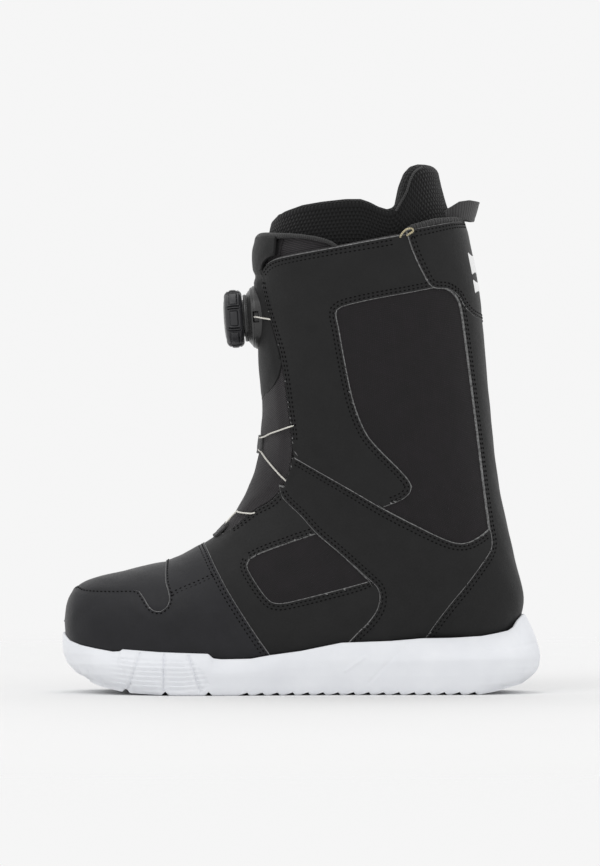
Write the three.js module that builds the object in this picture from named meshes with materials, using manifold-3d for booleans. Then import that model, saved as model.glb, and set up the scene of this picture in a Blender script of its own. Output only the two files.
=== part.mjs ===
// A left snowboard boot with a dial lacing system, in millimetres.
// The toe points to -X, the sole rests on Z = 0, and the wearer's left is -Y.
// The upper is a stack of closed layers around one lofted boot surface: outer panels, lining,
// tongue and removable liner. Side outlines cut each layer into its sewn pieces.
import * as THREE from "three";
import { mergeVertices } from "three/addons/utils/BufferGeometryUtils.js";
import Module from "manifold-3d";

const wasm = await Module();
wasm.setup();

// ---------------------------------------------------------------- driving dimensions
const GAP = 0.3; // between touching pieces
const SEAM = 0.4; // gap between neighbouring panels
const SIDES = 18; // points around a boot section
const REACH = 100; // half length of a side cut, past both sides of the boot

const PANEL = 1.8; // outer panel thickness
const LINING = 3; // padded shell lining thickness
const LINING_IN = PANEL + GAP; // depth of the lining's outer face
const TONGUE_IN = LINING_IN + LINING + GAP; // depth of the tongue wings
const WING = 1.6;
const LINER_FOOT = [5.6, 11]; // depth of the liner's outer and inner faces around the foot
const LINER_SHAFT = [8, 15.5]; // and around the leg
const LINER_SLOT = 22; // half width of the liner's opening in front, which its tongue fills
const FOOTBED = 4;
const BOARD = 2;

const SOLE_WALL = 12; // cup sole wall, measured at its widest level
const CAVITY_X = [-122, 132]; // the midsole's bed in the outsole
const CAVITY_TOP = 21;
const SOLE_FLOOR = 8; // outsole thickness under the midsole
const LUG_PITCH = 9.6;
const LUG_DEPTH = 2;

const LACE_R = 0.5;
const DIAL_AT = new THREE.Vector3(-28.4, 0, 239.8); // where the dial's axis meets the tongue
const DIAL_TILT = 4; // degrees, facing slightly down
const DIAL_R = 18.5;
const TONGUE_HINGE_Z = 143;
const BINDING_R = 1.9;
const PULL_LOOP = { at: [95.5, 0, 306.2], reach: 15.5, halfSpan: 19, thick: 1.6, width: 11.5,
  lean: 18 };

// ---------------------------------------------------------------- boot surface
// Each section: front (top) point, back (bottom) point, centre Y, half width, height share of
// the widest level, and the squareness of the back (bottom) and front (top) halves.
const SECTIONS = [
  [-151.4, 50, -151.4, 41, 5, 4, 0.5, 2, 2],
  [-150.3, 57, -150.8, 35, 5, 14, 0.42, 2.4, 2.2],
  [-147.5, 63.8, -149, 29.5, 5, 23, 0.4, 2.6, 2.3],
  [-142.5, 69.8, -145, 24, 5, 31, 0.38, 3, 2.4],
  [-132, 74.4, -135.5, 19.5, 4.5, 39.5, 0.36, 3.4, 2.4],
  [-115, 78.4, -118, 16, 3.5, 47, 0.35, 3.8, 2.4],
  [-97, 82.8, -97, 14, 2, 51.5, 0.34, 4, 2.3],
  [-82, 86, -76, 13, 0.5, 53.5, 0.33, 4, 2.2],
  [-68, 93, -50, 13, -1, 52.5, 0.33, 4, 2.1],
  [-54, 102, -20, 14.5, -2, 49.5, 0.34, 4, 2],
  [-43, 115.5, 15, 17, -2, 46.5, 0.35, 3.6, 1.9],
  [-34.5, 131, 55, 19.5, -1, 44.5, 0.37, 3.2, 1.85],
  [-29.3, 146, 95, 21.5, 0, 43.5, 0.4, 2.8, 1.85],
  [-27, 159, 126, 25, 0, 45, 0.45, 2.6, 1.9],
  [-26.2, 171, 141.8, 55, 0, 47.5, 0.49, 2.3, 2],
  [-25.5, 184, 135.8, 88, 0, 49.5, 0.5, 2.3, 2.1],
  [-27.3, 206, 126, 134, 0, 52.5, 0.5, 2.3, 2.2],
  [-28.6, 234, 119.8, 190, 0, 55, 0.5, 2.3, 2.2],
  [-30.8, 265, 114.3, 250, 0, 57, 0.5, 2.3, 2.2],
  [-31.8, 281, 107.7, 287, 0, 57.5, 0.5, 2.3, 2.2],
  [-28.5, 296, 103.8, 303, 0, 57, 0.5, 2.3, 2.2],
  [-24, 318, 98, 322, 0, 55, 0.5, 2.3, 2.2],
  [-22, 345, 93, 345, 0, 53, 0.5, 2.3, 2.2],
].map(([fx, fz, bx, bz, centre, half, widest, squareBack, squareFront]) => ({
  front: new THREE.Vector2(fx, fz),
  back: new THREE.Vector2(bx, bz),
  centre,
  half,
  widest,
  squareBack,
  squareFront,
}));
const LAST = SECTIONS.length - 1;
const ANKLE = 12; // the section where foot depths give way to leg depths

// The point moved inwards by depth, square to the line through its two neighbours.
function movedIn(before, point, after, depth) {
  const along = after.clone().sub(before).normalize();
  return new THREE.Vector2(point.x + along.y * depth, point.y - along.x * depth);
}

// The sections of the surface that lies depthAt(index) inside the boot surface.
function insetSections(depthAt) {
  const middle = SECTIONS.map((s) => s.front.clone().add(s.back).multiplyScalar(0.5));
  return SECTIONS.map((s, i) => {
    const lower = SECTIONS[Math.max(i - 1, 0)];
    const upper = SECTIONS[Math.min(i + 1, LAST)];
    const depth = depthAt(i);
    const fronts = [i === 0 ? s.back : lower.front, upper.front];
    const backs = [upper.back, i === 0 ? s.front : lower.back];
    const run = middle[Math.max(i - 1, 0)].distanceTo(middle[Math.min(i + 1, LAST)]);
    const square = run / Math.hypot(run, upper.half - lower.half);
    return {
      ...s,
      front: movedIn(fronts[0], s.front, fronts[1], depth),
      back: movedIn(backs[0], s.back, backs[1], depth),
      half: s.half - depth * square,
    };
  });
}

// A point of one section; turn is 0 at the back (bottom), PI at the front (top).
function sectionPoint(s, turn) {
  const c = Math.cos(turn);
  const atBack = c >= 0;
  const power = 2 / (atBack ? s.squareBack : s.squareFront);
  const rise = Math.abs(c) ** power;
  const share = atBack ? s.widest * (1 - rise) : s.widest + (1 - s.widest) * rise;
  const side = Math.sign(Math.sin(turn)) * Math.abs(Math.sin(turn)) ** power;
  const at = s.back.clone().lerp(s.front, share);
  return new THREE.Vector3(at.x, s.centre + side * s.half, at.y);
}

// The boot surface at a fractional section index, depth inside the outer face.
function surfacePoint(index, turn, depth) {
  const sections = insetSections(() => depth);
  const low = Math.min(Math.floor(index), LAST - 1);
  const a = sectionPoint(sections[low], turn);
  const b = sectionPoint(sections[low + 1], turn);
  return a.lerp(b, index - low);
}

// Finds the surface point whose two named coordinates have the wanted values.
function surfaceWhere(wanted, start, depth) {
  const names = Object.keys(wanted);
  let [index, turn] = start;
  const step = 0.01;
  const miss = (i, t) => {
    const p = surfacePoint(i, t, depth);
    return names.map((n) => p[n] - wanted[n]);
  };
  for (let round = 0; round < 40; round++) {
    const m = miss(index, turn);
    const mi = miss(index + step, turn).map((v, k) => (v - m[k]) / step);
    const mt = miss(index, turn + step).map((v, k) => (v - m[k]) / step);
    const det = mi[0] * mt[1] - mi[1] * mt[0] || 1e-6;
    const di = (m[0] * mt[1] - m[1] * mt[0]) / det;
    const dt = (mi[0] * m[1] - mi[1] * m[0]) / det;
    index = THREE.MathUtils.clamp(index - THREE.MathUtils.clamp(di, -1, 1), 0.5, LAST - 0.1);
    turn -= THREE.MathUtils.clamp(dt, -0.2, 0.2);
  }
  return surfacePoint(index, turn, depth);
}

// ---------------------------------------------------------------- solids
function solid(geometry) {
  const bare = geometry.clone();
  for (const name of ["normal", "uv"]) bare.deleteAttribute(name);
  const merged = mergeVertices(bare, 1e-4);
  return new wasm.Manifold(
    new wasm.Mesh({
      numProp: 3,
      vertProperties: merged.attributes.position.array,
      triVerts: new Uint32Array(merged.index.array),
    }),
  );
}

function geometryOf(body) {
  const mesh = body.getMesh();
  const position = new Float32Array(mesh.numVert * 3);
  for (let i = 0; i < mesh.numVert; i++) {
    position.set(mesh.vertProperties.subarray(i * mesh.numProp, i * mesh.numProp + 3), i * 3);
  }
  return new THREE.BufferGeometry()
    .setAttribute("position", new THREE.BufferAttribute(position, 3))
    .setIndex(new THREE.BufferAttribute(mesh.triVerts, 1));
}

// A closed solid through rings of equally many points, with a flat fan over each end.
function loft(rings) {
  const around = rings[0].length;
  const points = rings.flat();
  const faces = [];
  for (let r = 0; r + 1 < rings.length; r++) {
    for (let k = 0; k < around; k++) {
      const a = r * around + k;
      const b = r * around + ((k + 1) % around);
      faces.push(a, b, b + around, a, b + around, a + around);
    }
  }
  const capped = (ring, first, flip) => {
    const centre = ring.reduce((sum, p) => sum.add(p), new THREE.Vector3());
    points.push(centre.divideScalar(around));
    for (let k = 0; k < around; k++) {
      const pair = [first + k, first + ((k + 1) % around)];
      faces.push(points.length - 1, ...(flip ? pair.reverse() : pair));
    }
  };
  capped(rings[0], 0, true);
  capped(rings.at(-1), (rings.length - 1) * around, false);
  const geometry = new THREE.BufferGeometry().setFromPoints(points).setIndex(faces);
  const made = solid(geometry);
  return made.volume() > 0 ? made : solid(flipped(geometry));
}

function flipped(geometry) {
  const index = Array.from(geometry.index.array);
  for (let i = 0; i < index.length; i += 3) [index[i], index[i + 1]] = [index[i + 1], index[i]];
  return geometry.clone().setIndex(index);
}

// Everything inside the surface that lies depthAt(index) inside the boot surface.
function inside(depthAt) {
  const depth = typeof depthAt === "number" ? () => depthAt : depthAt;
  const turns = Array.from({ length: SIDES }, (_, k) => (k / SIDES) * 2 * Math.PI);
  return loft(insetSections(depth).map((s) => turns.map((t) => sectionPoint(s, t))));
}

const layer = (outer, inner) => inside(outer).subtract(inside(inner));

// A depth that changes from the foot's to the leg's over the sections about the ankle.
function footToLeg(foot, leg) {
  const start = ANKLE - 3;
  return (i) => THREE.MathUtils.lerp(foot, leg, THREE.MathUtils.clamp((i - start) / 5, 0, 1));
}

const shapeOf = (points) => new THREE.Shape(points.map(([x, z]) => new THREE.Vector2(x, z)));

// The side outline carried straight through the boot along Y.
function through(points, reach = REACH) {
  const geometry = new THREE.ExtrudeGeometry(shapeOf(points), {
    depth: 2 * reach,
    bevelEnabled: false,
  });
  return solid(geometry.rotateX(Math.PI / 2).translate(0, reach, 0));
}

// A thin wall along a side line, which leaves the gap of a seam.
function seamWall(points, width = SEAM) {
  const walls = points.slice(1).map(([x, z], i) => {
    const [fromX, fromZ] = points[i];
    const wall = new THREE.BoxGeometry(Math.hypot(x - fromX, z - fromZ) + width, 2 * REACH, width);
    wall.rotateY(-Math.atan2(z - fromZ, x - fromX));
    return solid(wall.translate((x + fromX) / 2, 0, (z + fromZ) / 2));
  });
  return wasm.Manifold.union(walls);
}

function block(x0, x1, y0, y1, z0, z1) {
  const geometry = new THREE.BoxGeometry(x1 - x0, y1 - y0, z1 - z0);
  return solid(geometry.translate((x0 + x1) / 2, (y0 + y1) / 2, (z0 + z1) / 2));
}

const SIDE = {
  left: block(-200, 200, -REACH, -SEAM / 2, -10, 400),
  right: block(-200, 200, SEAM / 2, REACH, -10, 400),
};

// A round cord along points.
function cord(points, radius, steps) {
  const ring = new THREE.Shape().absarc(0, 0, radius, 0, 2 * Math.PI);
  const path = new THREE.CatmullRomCurve3(points);
  return new THREE.ExtrudeGeometry(ring, {
    steps,
    curveSegments: radius < 1 ? 3 : 4,
    extrudePath: path,
    bevelEnabled: false,
  });
}

// ---------------------------------------------------------------- seams, as side lines (X, Z)
const TOE_TOP_SEAM = [[-160, 73], [-146.9, 71.7], [-143, 69.4], [-137.9, 67.2], [-122.6, 66.6],
  [-106.6, 66.9], [-102.7, 65.9], [-99.5, 61.4], [-96.3, 56.3], [-93.1, 53.8], [-89.3, 53.4],
  [-85.8, 56.3], [-84.2, 60.8], [-84.2, 64]];
const TOE_TOP_BACK = [[-84.2, 64], [-85.4, 68], [-86.4, 72], [-86.8, 96]];
const STRAP_SEAM = [[-84.2, 64], [-77.8, 67.2], [-65, 72.6], [-51.6, 76.4]];
const VAMP_SEAM_TOP = [[-68, 104], [-60.8, 94.1], [-51.6, 76.4]];
const VAMP_SEAM_LOW = [[-51.6, 76.4], [-45.8, 65.3], [-36.2, 49.9], [-27.8, 37.1], [-19.5, 25],
  [-15, 16]];
const THROAT = [[-58, 112], [-50, 103.4], [-41.9, 107.4], [-35.5, 112.4], [-29.8, 117],
  [-19.5, 122.8], [-12.5, 131.5], [-8, 142], [-6.2, 151.5], [-7.4, 167.7], [-9.3, 181.8],
  [-11.2, 196.5], [-14.4, 215.7], [-18.9, 231.7], [-23.4, 247.7], [-25.9, 260.5],
  [-26.4, 273], [-30, 320]];
const ANKLE_FRONT = [[-12.5, 131.5], [-12, 124.8], [-1, 113.3], [9.3, 102.1], [24.6, 89],
  [43.8, 71.7], [47.7, 67.8], [49.3, 62.1], [47.7, 54.4], [42.6, 46.7], [36.2, 40.3],
  [29.1, 32.6], [20, 20]];
const ANKLE_TOP = [[-6.2, 151.5], [11.8, 140.8], [31, 129.9], [50.9, 118.4]];
const WINDOW_LOW = [[50.9, 118.4], [69.4, 108.8], [88.6, 99.5], [98.2, 96.3], [105.3, 96.6],
  [113, 100.2], [119.4, 105]];
const WINDOW_IN = [[50.9, 118.4], [63, 123.2], [68.2, 127.4], [69.8, 131.8], [67.5, 136.3],
  [61.1, 143.4], [50.2, 154.2], [41.9, 163.8], [36.2, 175.4], [31.7, 189.4], [26.6, 213.8],
  [23.4, 231.7], [21.8, 239.4], [22.1, 242.9], [25.3, 245.1], [37.4, 248.3], [53.4, 251.5],
  [83.5, 257.3]];
const WINDOW_BACK = [[83.5, 257.3], [91.2, 257], [96.3, 254.1], [99.5, 249.6], [101.4, 243.2],
  [104, 225.3], [107.8, 196.5], [112.3, 161.3], [116.2, 129.3], [119.4, 105]];
const COUNTER_SEAM = [[119.4, 105], [120.6, 98.6], [120, 92.2], [114.2, 83.2], [104.6, 70.4],
  [86.1, 47.4], [77.8, 35.2], [70, 20]];
const REAR_CUFF_FRONT = [[64, 302], [66.2, 291.8], [70.7, 279], [77.1, 265.6], [83.5, 257.3]];
const REAR_CUFF_LOW = [[101.4, 243.2], [109.1, 240], [119, 236], [130, 232]];
const QUARTER_WINDOW = [[-33, 86.4], [-25.3, 90.2], [9.3, 102.1], [42.6, 72], [24.6, 67.2],
  [-1, 60.8], [-11.8, 58.6], [-17.6, 58.9], [-21.4, 61.4], [-27.8, 69.8], [-33.6, 79.4],
  [-34.6, 82.6]];
const LASTING_SEAM = [[-160, 33], [-148, 27], [-120, 21.5], [-90, 19.5], [-50, 17.5], [-20, 19.5],
  [10, 23], [40, 27], [100, 30], [130, 33], [160, 36]];
const RIM = [[-160, 240], [-60, 262], [-26.4, 270.8], [-24, 273.9], [-20.2, 275.8], [-10.6, 277.4],
  [18.2, 282.6], [63, 290.9], [82.2, 296.6], [105.3, 300.8], [160, 304]];
const BIB_LOW = [[-60, 188.2], [-25.3, 189.4], [-20.2, 192.6], [-16.3, 198.4], [-14.1, 206.1],
  [-13.4, 211]];
const TONGUE_TOP = [[-60, 293.2], [-25.3, 293.4], [-1, 291.2], [10.6, 289.3], [24, 283.5],
  [30, 279]];
const LINER_TOP = [[-20.4, 200], [-20.4, 297], [-18.9, 302.1], [-16.3, 305.9], [-11.8, 308.8],
  [-1, 312.3], [11.8, 314.2], [37.4, 315.8], [43.2, 313.9], [54.7, 309.4], [60.5, 313.6],
  [65, 327], [68.8, 333.8], [73.3, 337.3], [78.4, 338.6], [82.9, 336], [87.4, 330.9],
  [90.6, 323.2], [94, 307.2], [140, 290], [170, 200]];
const LINER_SPLIT = [[-160, 151], [-60, 150], [-6, 148], [60, 112], [105, 96], [160, 100]];
const SOLE_BOTTOM = [[-153.2, 33.3], [-152.8, 25.6], [-150.1, 19.2], [-144.3, 12.8],
  [-135.4, 7.7], [-125.8, 4.5], [-113.5, 2.1], [-111, 4.4], [-108.5, 1.4], [-88.5, 0.2],
  [-86, 2.8], [-83.5, 0], [-61, 0], [-58.6, 2.6], [-56.2, 0], [-42.6, 0]];
const SOLE_HEEL = [[112, 0], [123.8, 2.2], [134.7, 5.1], [141.8, 6.4], [146.2, 9.6],
  [150.1, 13.4], [152, 17.3], [152.7, 23.7], [151.7, 30.1], [148.8, 37.1], [146.9, 43.5],
  [145, 48]];
const BITE_LINE = [[142.4, 49.6], [139.8, 46.1], [137.3, 41.6], [134.1, 39.7], [127, 38.4],
  [114.2, 36.5], [95, 35.5], [75.8, 35.2], [56.6, 33.6], [24.6, 32.6], [-1, 27.5],
  [-20.2, 25], [-33, 22.7], [-50.9, 22.4], [-56, 23], [-59.2, 25.9], [-90.6, 26.9],
  [-114.9, 28.5], [-116.8, 27.2], [-121.3, 26.9], [-132.2, 28.8], [-140.5, 30.7],
  [-146.9, 33.3], [-151.4, 38.5]];

const PULL_LOOP_TOP = [[80, 304], [90, 309], [97, 313.8], [104, 315], [120, 313.4]];
const PULL_LOOP_FOOT = [[60, 309], [94, 309], [120, 300]];

const backwards = (line) => [...line].reverse();
const above = (line) => through([...line, [line.at(-1)[0], 400], [line[0][0], 400]]);
const below = (line) => through([...line, [line.at(-1)[0], -20], [line[0][0], -20]]);
const FAR_LEFT = -230;
const FAR_RIGHT = 230;

// Everything in front of the throat line, where the tongue shows.
const throatZone = through([...THROAT, [FAR_LEFT, 320], [FAR_LEFT, 112]]);

// The same opening seen from the front, carried back along X, for the layers under the panels.
function throatOpening(clearance) {
  const edge = THROAT.slice(4, -1).map(([x, z]) => {
    const y = Math.abs(surfaceWhere({ x, z }, [z > 180 ? 16 : 13, -2.4], 0).y);
    return [y - 2.5 - clearance, z];
  });
  edge.push([edge.at(-1)[0], 330]);
  const outline = [...edge, ...backwards(edge).map(([y, z]) => [-y, z])];
  return through(outline).rotate([0, 0, 90]).intersect(block(-REACH, 0, -90, 90, -10, 400));
}

// ---------------------------------------------------------------- outer panels
const seams = [TOE_TOP_SEAM, TOE_TOP_BACK, STRAP_SEAM, VAMP_SEAM_TOP, VAMP_SEAM_LOW, THROAT,
  ANKLE_FRONT, ANKLE_TOP, WINDOW_LOW, WINDOW_IN, WINDOW_BACK, COUNTER_SEAM, REAR_CUFF_FRONT,
  REAR_CUFF_LOW, LASTING_SEAM, [...QUARTER_WINDOW, QUARTER_WINDOW[0]]]
  .map((line) => seamWall(line));
const seamWalls = wasm.Manifold.union(seams);
const clothing = (outer) => layer(outer, PANEL).subtract(seamWalls).intersect(below(RIM))
  .intersect(above(LASTING_SEAM));
const panelLayer = clothing(0);
const windowLayer = clothing(0.7);

const panel = (outline) => panelLayer.intersect(through(outline));

function outerPanels() {
  const made = {};
  made.toe_top = panel([...TOE_TOP_SEAM, ...TOE_TOP_BACK, [-160, 110]]);
  made.vamp_strap = panel([...TOE_TOP_BACK, [-75, 110], ...VAMP_SEAM_TOP,
    ...backwards(STRAP_SEAM)]);
  made.toe_cap = panel([...TOE_TOP_SEAM, ...STRAP_SEAM.slice(1), ...VAMP_SEAM_LOW.slice(1),
    [-15, 0], [-160, 0]]);
  const quarter = panel([...backwards(VAMP_SEAM_TOP), ...THROAT.slice(1, 7), ...ANKLE_FRONT,
    [-15, 16], ...backwards(VAMP_SEAM_LOW)]);
  const ankle = panel([...ANKLE_FRONT, [70, 20], ...backwards(COUNTER_SEAM),
    ...backwards(WINDOW_LOW), ...backwards(ANKLE_TOP), [-8, 142]]);
  const cuff = panel([...THROAT.slice(8), [64, 320], ...REAR_CUFF_FRONT,
    ...backwards(WINDOW_IN), ...backwards(ANKLE_TOP)]);
  const shaftWindow = windowLayer.intersect(
    through([...WINDOW_IN, ...WINDOW_BACK, ...backwards(WINDOW_LOW)]));
  const quarterWindow = windowLayer.intersect(through(QUARTER_WINDOW));
  const quarterFrame = quarter.subtract(through(QUARTER_WINDOW));
  for (const side of ["left", "right"]) {
    const half = (body) => body.intersect(SIDE[side]);
    made[`quarter_${side}`] = half(quarterFrame);
    made[`quarter_window_${side}`] = half(quarterWindow);
    made[`ankle_panel_${side}`] = half(ankle);
    made[`cuff_panel_${side}`] = half(cuff);
    made[`shaft_window_${side}`] = half(shaftWindow);
  }
  made.heel_counter = panel([...COUNTER_SEAM, [FAR_RIGHT, 20], [FAR_RIGHT, 232],
    ...backwards(REAR_CUFF_LOW), ...WINDOW_BACK.slice(4)]);
  made.rear_cuff = panel([...REAR_CUFF_FRONT, ...WINDOW_BACK.slice(0, 5), ...REAR_CUFF_LOW,
    [FAR_RIGHT, 232], [FAR_RIGHT, 320], [64, 320]]);
  made.lasting_board = layer(0, BOARD).subtract(seamWall(LASTING_SEAM))
    .intersect(below(LASTING_SEAM));
  made.heel_mark = layer(-1, -GAP).intersect(block(80, 140, -15, 15, 257, 286));
  return made;
}

// ---------------------------------------------------------------- lining and liner
const splitWall = seamWall(LINER_SPLIT);

// The hidden runs of the lace between shell and lining, as side points on one side.
const CUFF_RUN = [[-16.8, 237.6], [-5, 232], [4, 205], [4, 184], [-6, 170]];
const ANKLE_RUN = [[-9.5, 137], [2, 132], [4, 122], [-10, 116.5], [-27, 117.6]];
const RUN_DEPTH = LINING_IN + 1.6;
const sideTurn = (side) => (side === "left" ? -2.2 : 2.2);
const onSide = ([x, z], side, depth) =>
  surfaceWhere({ x, z }, [z > 180 ? 16.5 : 13, sideTurn(side)], depth);
const onFront = (y, z, depth) =>
  surfaceWhere({ y, z }, [z > 200 ? 17 : 12.5, y < 0 ? -3 : 3], depth);

// Points of a run, close enough together to follow the boot.
function runPoints(run, side) {
  const line = new THREE.SplineCurve(run.map(([x, z]) => new THREE.Vector2(x, z)));
  return line.getPoints(8).map((p) => onSide([p.x, p.y], side, RUN_DEPTH));
}

function linings() {
  const whole = layer(LINING_IN, LINING_IN + LINING).intersect(below(RIM))
    .subtract(throatZone).subtract(throatOpening(0)).subtract(seamWall(THROAT))
    .subtract(splitWall);
  const channels = ["left", "right"].flatMap((side) =>
    [CUFF_RUN, ANKLE_RUN].map((run) => solid(cord(runPoints(run, side), LACE_R + 0.6, 8))));
  const open = whole.subtract(wasm.Manifold.union(channels));
  return {
    lining_foot: largest(open.intersect(below(LINER_SPLIT))),
    lining_shaft: largest(open.intersect(above(LINER_SPLIT))),
  };
}

function largest(body) {
  return body.decompose().sort((a, b) => b.volume() - a.volume())[0];
}

function linerPieces() {
  const outer = footToLeg(LINER_FOOT[0], LINER_SHAFT[0]);
  const inner = footToLeg(LINER_FOOT[1], LINER_SHAFT[1]);
  const sock = inside(outer).subtract(inside(inner)).subtract(splitWall)
    .intersect(through([...LINER_TOP, [170, -10], [-170, -10], [-170, 100], [-60, 140]]));
  const slot = (half) => block(-60, 6, -half, half, 90, 400);
  const hollow = insetSections((i) => inner(i) + GAP);
  const floor = hollow.slice(1, 14).map((s) => [s.back.x, s.back.y + FOOTBED]);
  const shaft = sock.intersect(above(LINER_SPLIT));
  return {
    liner_foot: largest(sock.intersect(below(LINER_SPLIT))),
    liner_cuff: largest(shaft.subtract(slot(LINER_SLOT))),
    liner_tongue: largest(shaft.intersect(slot(LINER_SLOT - SEAM))),
    footbed: inside((i) => inner(i) + GAP).intersect(below(floor)),
  };
}

// ---------------------------------------------------------------- tongue
const TONGUE_DEPTH = [0.6, 2.2];
const TONGUE_FOOT = 103; // height of the tongue's lowest edge
const FOAM_FOOT = 150; // height where the foam starts
const FOAM_CORE_FOOT = 174; // height where its thick middle starts
const FOAM_HALF = 17; // half width of the thick middle
const TONGUE_GUIDE = { depth: -1.8, half: 9, from: 152.6, to: 164.4 };
const VAMP_GUIDE = { depth: -2, half: 8, from: 100, to: 109 };

function laceGuide({ depth, half, from, to }, backX) {
  return layer(depth, -GAP).intersect(block(-60, backX, -half, half, from, to));
}

function tonguePieces() {
  const gap = seamWall(THROAT, 2 * SEAM);
  const skin = layer(...TONGUE_DEPTH).intersect(throatZone).subtract(gap);
  const level = (z) => [[-90, z], [40, z]];
  const hingeLine = level(TONGUE_HINGE_Z);
  const bibSkin = layer(0, TONGUE_DEPTH[1]).intersect(throatZone).subtract(gap)
    .intersect(below(TONGUE_TOP));
  const bibCut = [...BIB_LOW, [-13.4, 320], [-60, 320]];
  const front = layer(TONGUE_DEPTH[1] + GAP, LINING_IN + LINING).intersect(throatOpening(1.6));
  const core = layer(LINING_IN + LINING - 1, LINER_SHAFT[0] - GAP)
    .intersect(block(-60, 0, -FOAM_HALF, FOAM_HALF, FOAM_CORE_FOOT, 400));
  const foam = front.add(core).intersect(below(TONGUE_TOP))
    .intersect(above(level(FOAM_FOOT)));
  const wingZone = through([[-27, 200], [-27, 285], [-25.3, 293.2], [-1, 291], [10.6, 289.1],
    [23.4, 283.5], [14, 215], [6, 200]]);
  const wings = layer(TONGUE_IN, TONGUE_IN + WING).intersect(wingZone)
    .subtract(block(-60, 40, -FOAM_HALF - GAP, FOAM_HALF + GAP, 0, 400));
  return {
    tongue_lower: largest(skin.subtract(seamWall(hingeLine)).intersect(below(hingeLine))
      .intersect(above(level(TONGUE_FOOT)))),
    tongue_fabric: largest(skin.intersect(above(hingeLine)).subtract(seamWall(hingeLine))
      .subtract(through(bibCut)).subtract(seamWall(BIB_LOW))),
    tongue_bib: largest(bibSkin.intersect(through(bibCut)).subtract(seamWall(BIB_LOW))),
    tongue_foam: largest(foam),
    tongue_wing_left: largest(wings.intersect(SIDE.left)),
    tongue_wing_right: largest(wings.intersect(SIDE.right)),
    tongue_lace_guide: laceGuide(TONGUE_GUIDE, 0),
    vamp_lace_guide: laceGuide(VAMP_GUIDE, -30),
  };
}

// ---------------------------------------------------------------- sole
// Plan of the cup sole at its widest level, toe first and round by the wearer's left.
const SOLE_PLAN = [[-153, 5], [-149.5, -17], [-140, -34], [-122, -48], [-96, -57], [-70, -58.5],
  [-40, -56.5], [0, -50.5], [50, -46.5], [95, -46.5], [125, -42.5], [142, -31], [150, -16],
  [152.7, 0], [150, 16], [142, 30], [125, 41], [95, 44.5], [50, 43.5], [0, 46.5], [-40, 54],
  [-70, 58.5], [-96, 58], [-122, 53], [-140, 42], [-149.5, 26]];
// Height, and how far the wall draws in there.
const SOLE_LEVELS = [[-1, 6], [5, 3], [12, 1], [22, 0], [32, 1], [44, 4], [56, 8]];

function planRing(inset, z) {
  const plan = SOLE_PLAN.map(([x, y]) => new THREE.Vector2(x, y));
  return plan.map((p, i) => {
    const before = plan.at(i - 1);
    const after = plan[(i + 1) % plan.length];
    const q = movedIn(after, p, before, inset);
    return new THREE.Vector3(q.x, q.y, z);
  });
}

function treadLine() {
  const points = [];
  for (let x = SOLE_BOTTOM.at(-1)[0]; x < SOLE_HEEL[0][0] - LUG_PITCH; x += LUG_PITCH) {
    points.push([x, 0], [x + LUG_PITCH * 0.72, 0], [x + LUG_PITCH * 0.86, LUG_DEPTH]);
  }
  return points;
}

function solePieces() {
  const foot = inside(-GAP);
  const body = loft(SOLE_LEVELS.map(([z, inset]) => planRing(inset, z)));
  const side = through([...SOLE_BOTTOM.slice(0, -1), ...treadLine(), ...SOLE_HEEL, ...BITE_LINE]);
  const cavity = (play) => {
    const [low, high] = [SOLE_FLOOR + play, CAVITY_TOP - play];
    return loft([low, high].map((z) => planRing(SOLE_WALL + play, z)))
      .intersect(block(CAVITY_X[0] + play, CAVITY_X[1] - play, -REACH, REACH, low, high));
  };
  const shell = body.intersect(side).subtract(foot).subtract(cavity(0));
  const gelPlan = new THREE.CylinderGeometry(24, 24, 5, 24).rotateX(Math.PI / 2);
  const gel = (play) => solid(gelPlan.clone().scale(1 + play / 24, 1 + play / 24, 1 + 2 * play)
    .translate(108, 0, SOLE_FLOOR + 2.5 + GAP));
  const shank = (play) => block(-30 - play, 78 + play, -13 - play, 11 + play,
    SOLE_FLOOR + GAP - play, SOLE_FLOOR + GAP + 1.8 + play);
  const middle = cavity(GAP).subtract(inside(-2 * GAP));
  return {
    outsole: largest(shell),
    midsole: largest(middle.subtract(gel(GAP)).subtract(shank(GAP))),
    heel_cushion: gel(0),
    shank: shank(0),
  };
}

// ---------------------------------------------------------------- dial
// Profiles are (radius, height) pairs; height runs out along the dial's axis.
const DIAL = {
  base: [[0, -4], [20, -4], [20, 1.8], [19.2, 3.4], [16.6, 5.4], [15.2, 6.8], [14.8, 8.4],
    [12.4, 8.4], [12.4, 2.5], [0, 2.5]],
  spool: [[2.8, 3], [12, 3], [12, 3.7], [7.5, 4.2], [7.5, 6.1], [12, 6.6], [12, 7.2], [2.8, 7.2]],
  drive: [[2.8, 7.6], [11.8, 7.6], [11.8, 9.4], [5, 9.6], [5, 15.8], [2.8, 15.8]],
  screw: [[0, 2.8], [2.4, 2.8], [2.4, 16.2], [4, 16.2], [4, 17.8], [0, 17.8]],
  knob: [[5.4, 10.8], [12.8, 10.8], [12.8, 9], [15.6, 9], [16.4, 9.8], [16.4, 18.8],
    [15.2, 20.4], [9, 21.3], [0, 21.6], [0, 18.4], [5.4, 18.4]],
};
const GRIPS = 8;
const GRIP_SPAN = [10, 19]; // heights of the rubber grip ring
const LACE_PORT_HEIGHT = 5.2;

const lathe = (profile, segments = 24) =>
  new THREE.LatheGeometry([...profile, profile[0]].map(([r, h]) => new THREE.Vector2(r, h)),
    segments);

// The dial's group: its own Y axis runs out along the dial's axis.
const tilt = THREE.MathUtils.degToRad(DIAL_TILT);
const dialAxis = new THREE.Vector3(-Math.cos(tilt), 0, -Math.sin(tilt));
const dialGroup = new THREE.Group();
dialGroup.position.copy(DIAL_AT);
dialGroup.quaternion.setFromUnitVectors(new THREE.Vector3(0, 1, 0), dialAxis);
dialGroup.updateMatrixWorld(true);

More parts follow.
